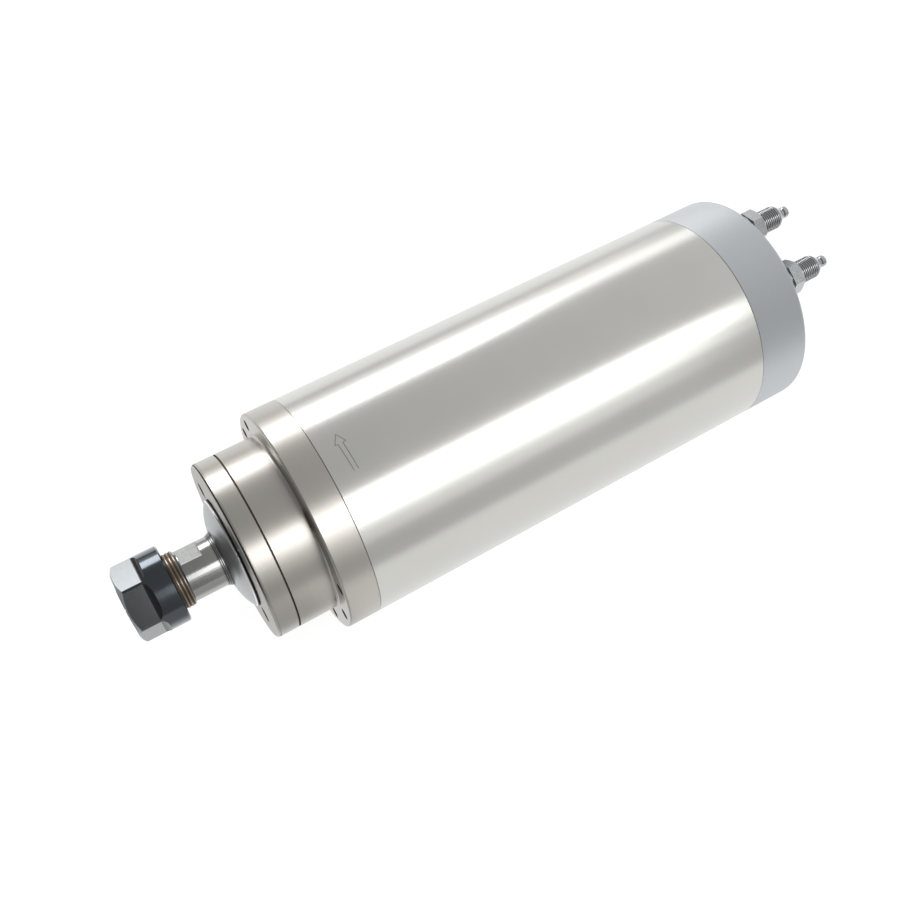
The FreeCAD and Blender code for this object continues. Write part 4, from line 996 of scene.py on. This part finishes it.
def wound_ridge(name, start, turns, pitch, rod_radius, half_width, crest_height):
    """A thread's ridge round the X axis, from the place start towards +X."""
    bpy.ops.object.select_all(action="DESELECT")
    bpy.ops.mesh.primitive_circle_add(vertices=4, radius=1.0, fill_type="NOTHING",
                                      location=(0.0, 0.0, 0.0))
    ridge = bpy.context.object
    ridge.name = name
    bpy.ops.object.mode_set(mode="EDIT")
    bpy.ops.mesh.select_all(action="SELECT")
    bpy.ops.transform.resize(value=(half_width, crest_height, 1.0))
    bpy.ops.transform.translate(value=(start, rod_radius, 0.0))
    bpy.ops.object.mode_set(mode="OBJECT")
    winding = ridge.modifiers.new("winding", "SCREW")
    winding.axis = "X"
    winding.angle = 2.0 * math.pi * turns
    winding.screw_offset = pitch * turns
    winding.iterations = 1
    winding.steps = winding.render_steps = int(SCREW_STEPS * turns)
    bpy.ops.object.modifier_apply(modifier="winding")
    bpy.ops.object.mode_set(mode="EDIT")
    bpy.ops.mesh.select_all(action="SELECT")
    bpy.ops.mesh.fill_holes(sides=4)
    bpy.ops.mesh.select_all(action="SELECT")
    bpy.ops.mesh.normals_make_consistent(inside=False)
    bpy.ops.object.mode_set(mode="OBJECT")
    return ridge


print("ridge recipe ready")

# %% [markdown]
# The shaft's thread shows as a few crests between the nut and the neck. They are rubbed
# bright, and brown grease lies between them, so this finish goes by the distance from the
# axis.

# %% The shaft's thread
THREAD_START = -54.25 * MM
THREAD_TURNS = 2.5
THREAD_ROD_RADIUS = 12.0 * MM
THREAD_CREST = 0.40 * MM
THREAD_HALF_WIDTH = 0.50 * MM
VALLEY_GREASE = (0.15, 0.095, 0.055)


def greasy_thread():
    """Bright crests and greasy valleys."""
    finish = Finish("greasy_thread")
    finish.base((0.50, 0.48, 0.44), (0.62, 0.60, 0.56), (0.16, 0.26), lines=3000.0)
    low = finish.band(finish.radius, 0.0, THREAD_ROD_RADIUS + 0.29 * MM, 0.08 * MM)
    finish.over(low, VALLEY_GREASE, (0.30, 0.55), strength=0.9)
    return finish.done(bump=0.02)


nose_thread = wound_ridge("nose_thread", THREAD_START, THREAD_TURNS, THREAD_PITCH,
                          THREAD_ROD_RADIUS, THREAD_HALF_WIDTH, THREAD_CREST)
nose_thread.data.materials.append(greasy_thread())
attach(nose_thread, "spindle")
print("nose thread", len(nose_thread.data.polygons), "faces")

# %% [markdown]
# Both hose fittings carry the same fine thread. It is wound once on the origin's axis and
# copied with a mesh of its own, and each copy is moved to its fitting and fixed there.

# %% The fittings' threads
FITTING_THREAD_START = 244.6 * MM
FITTING_THREAD_TURNS = 9.0
FITTING_THREAD_PITCH = 1.0 * MM
FITTING_CREST = 0.32 * MM
FITTING_HALF_WIDTH = 0.42 * MM


def settle(piece, y, z):
    """Moves a piece to its axis and puts its object back at the origin."""
    bpy.ops.object.select_all(action="DESELECT")
    piece.select_set(True)
    bpy.context.view_layer.objects.active = piece
    piece.location = (0.0, y, z)
    bpy.ops.object.transform_apply(location=True, rotation=False, scale=False)


first_thread = wound_ridge("hose_thread_a", FITTING_THREAD_START, FITTING_THREAD_TURNS,
                           FITTING_THREAD_PITCH, FITTING_ROD_RADIUS, FITTING_HALF_WIDTH,
                           FITTING_CREST)
second_thread = first_thread.copy()
second_thread.data = first_thread.data.copy()
second_thread.name = "hose_thread_b"
bpy.context.scene.collection.objects.link(second_thread)
for thread in (first_thread, second_thread):
    settle(thread, *fitting_place(thread.name))
    thread.data.materials.append(plated)
    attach(thread, "housing")
print("fitting threads", len(first_thread.data.polygons), "faces each")
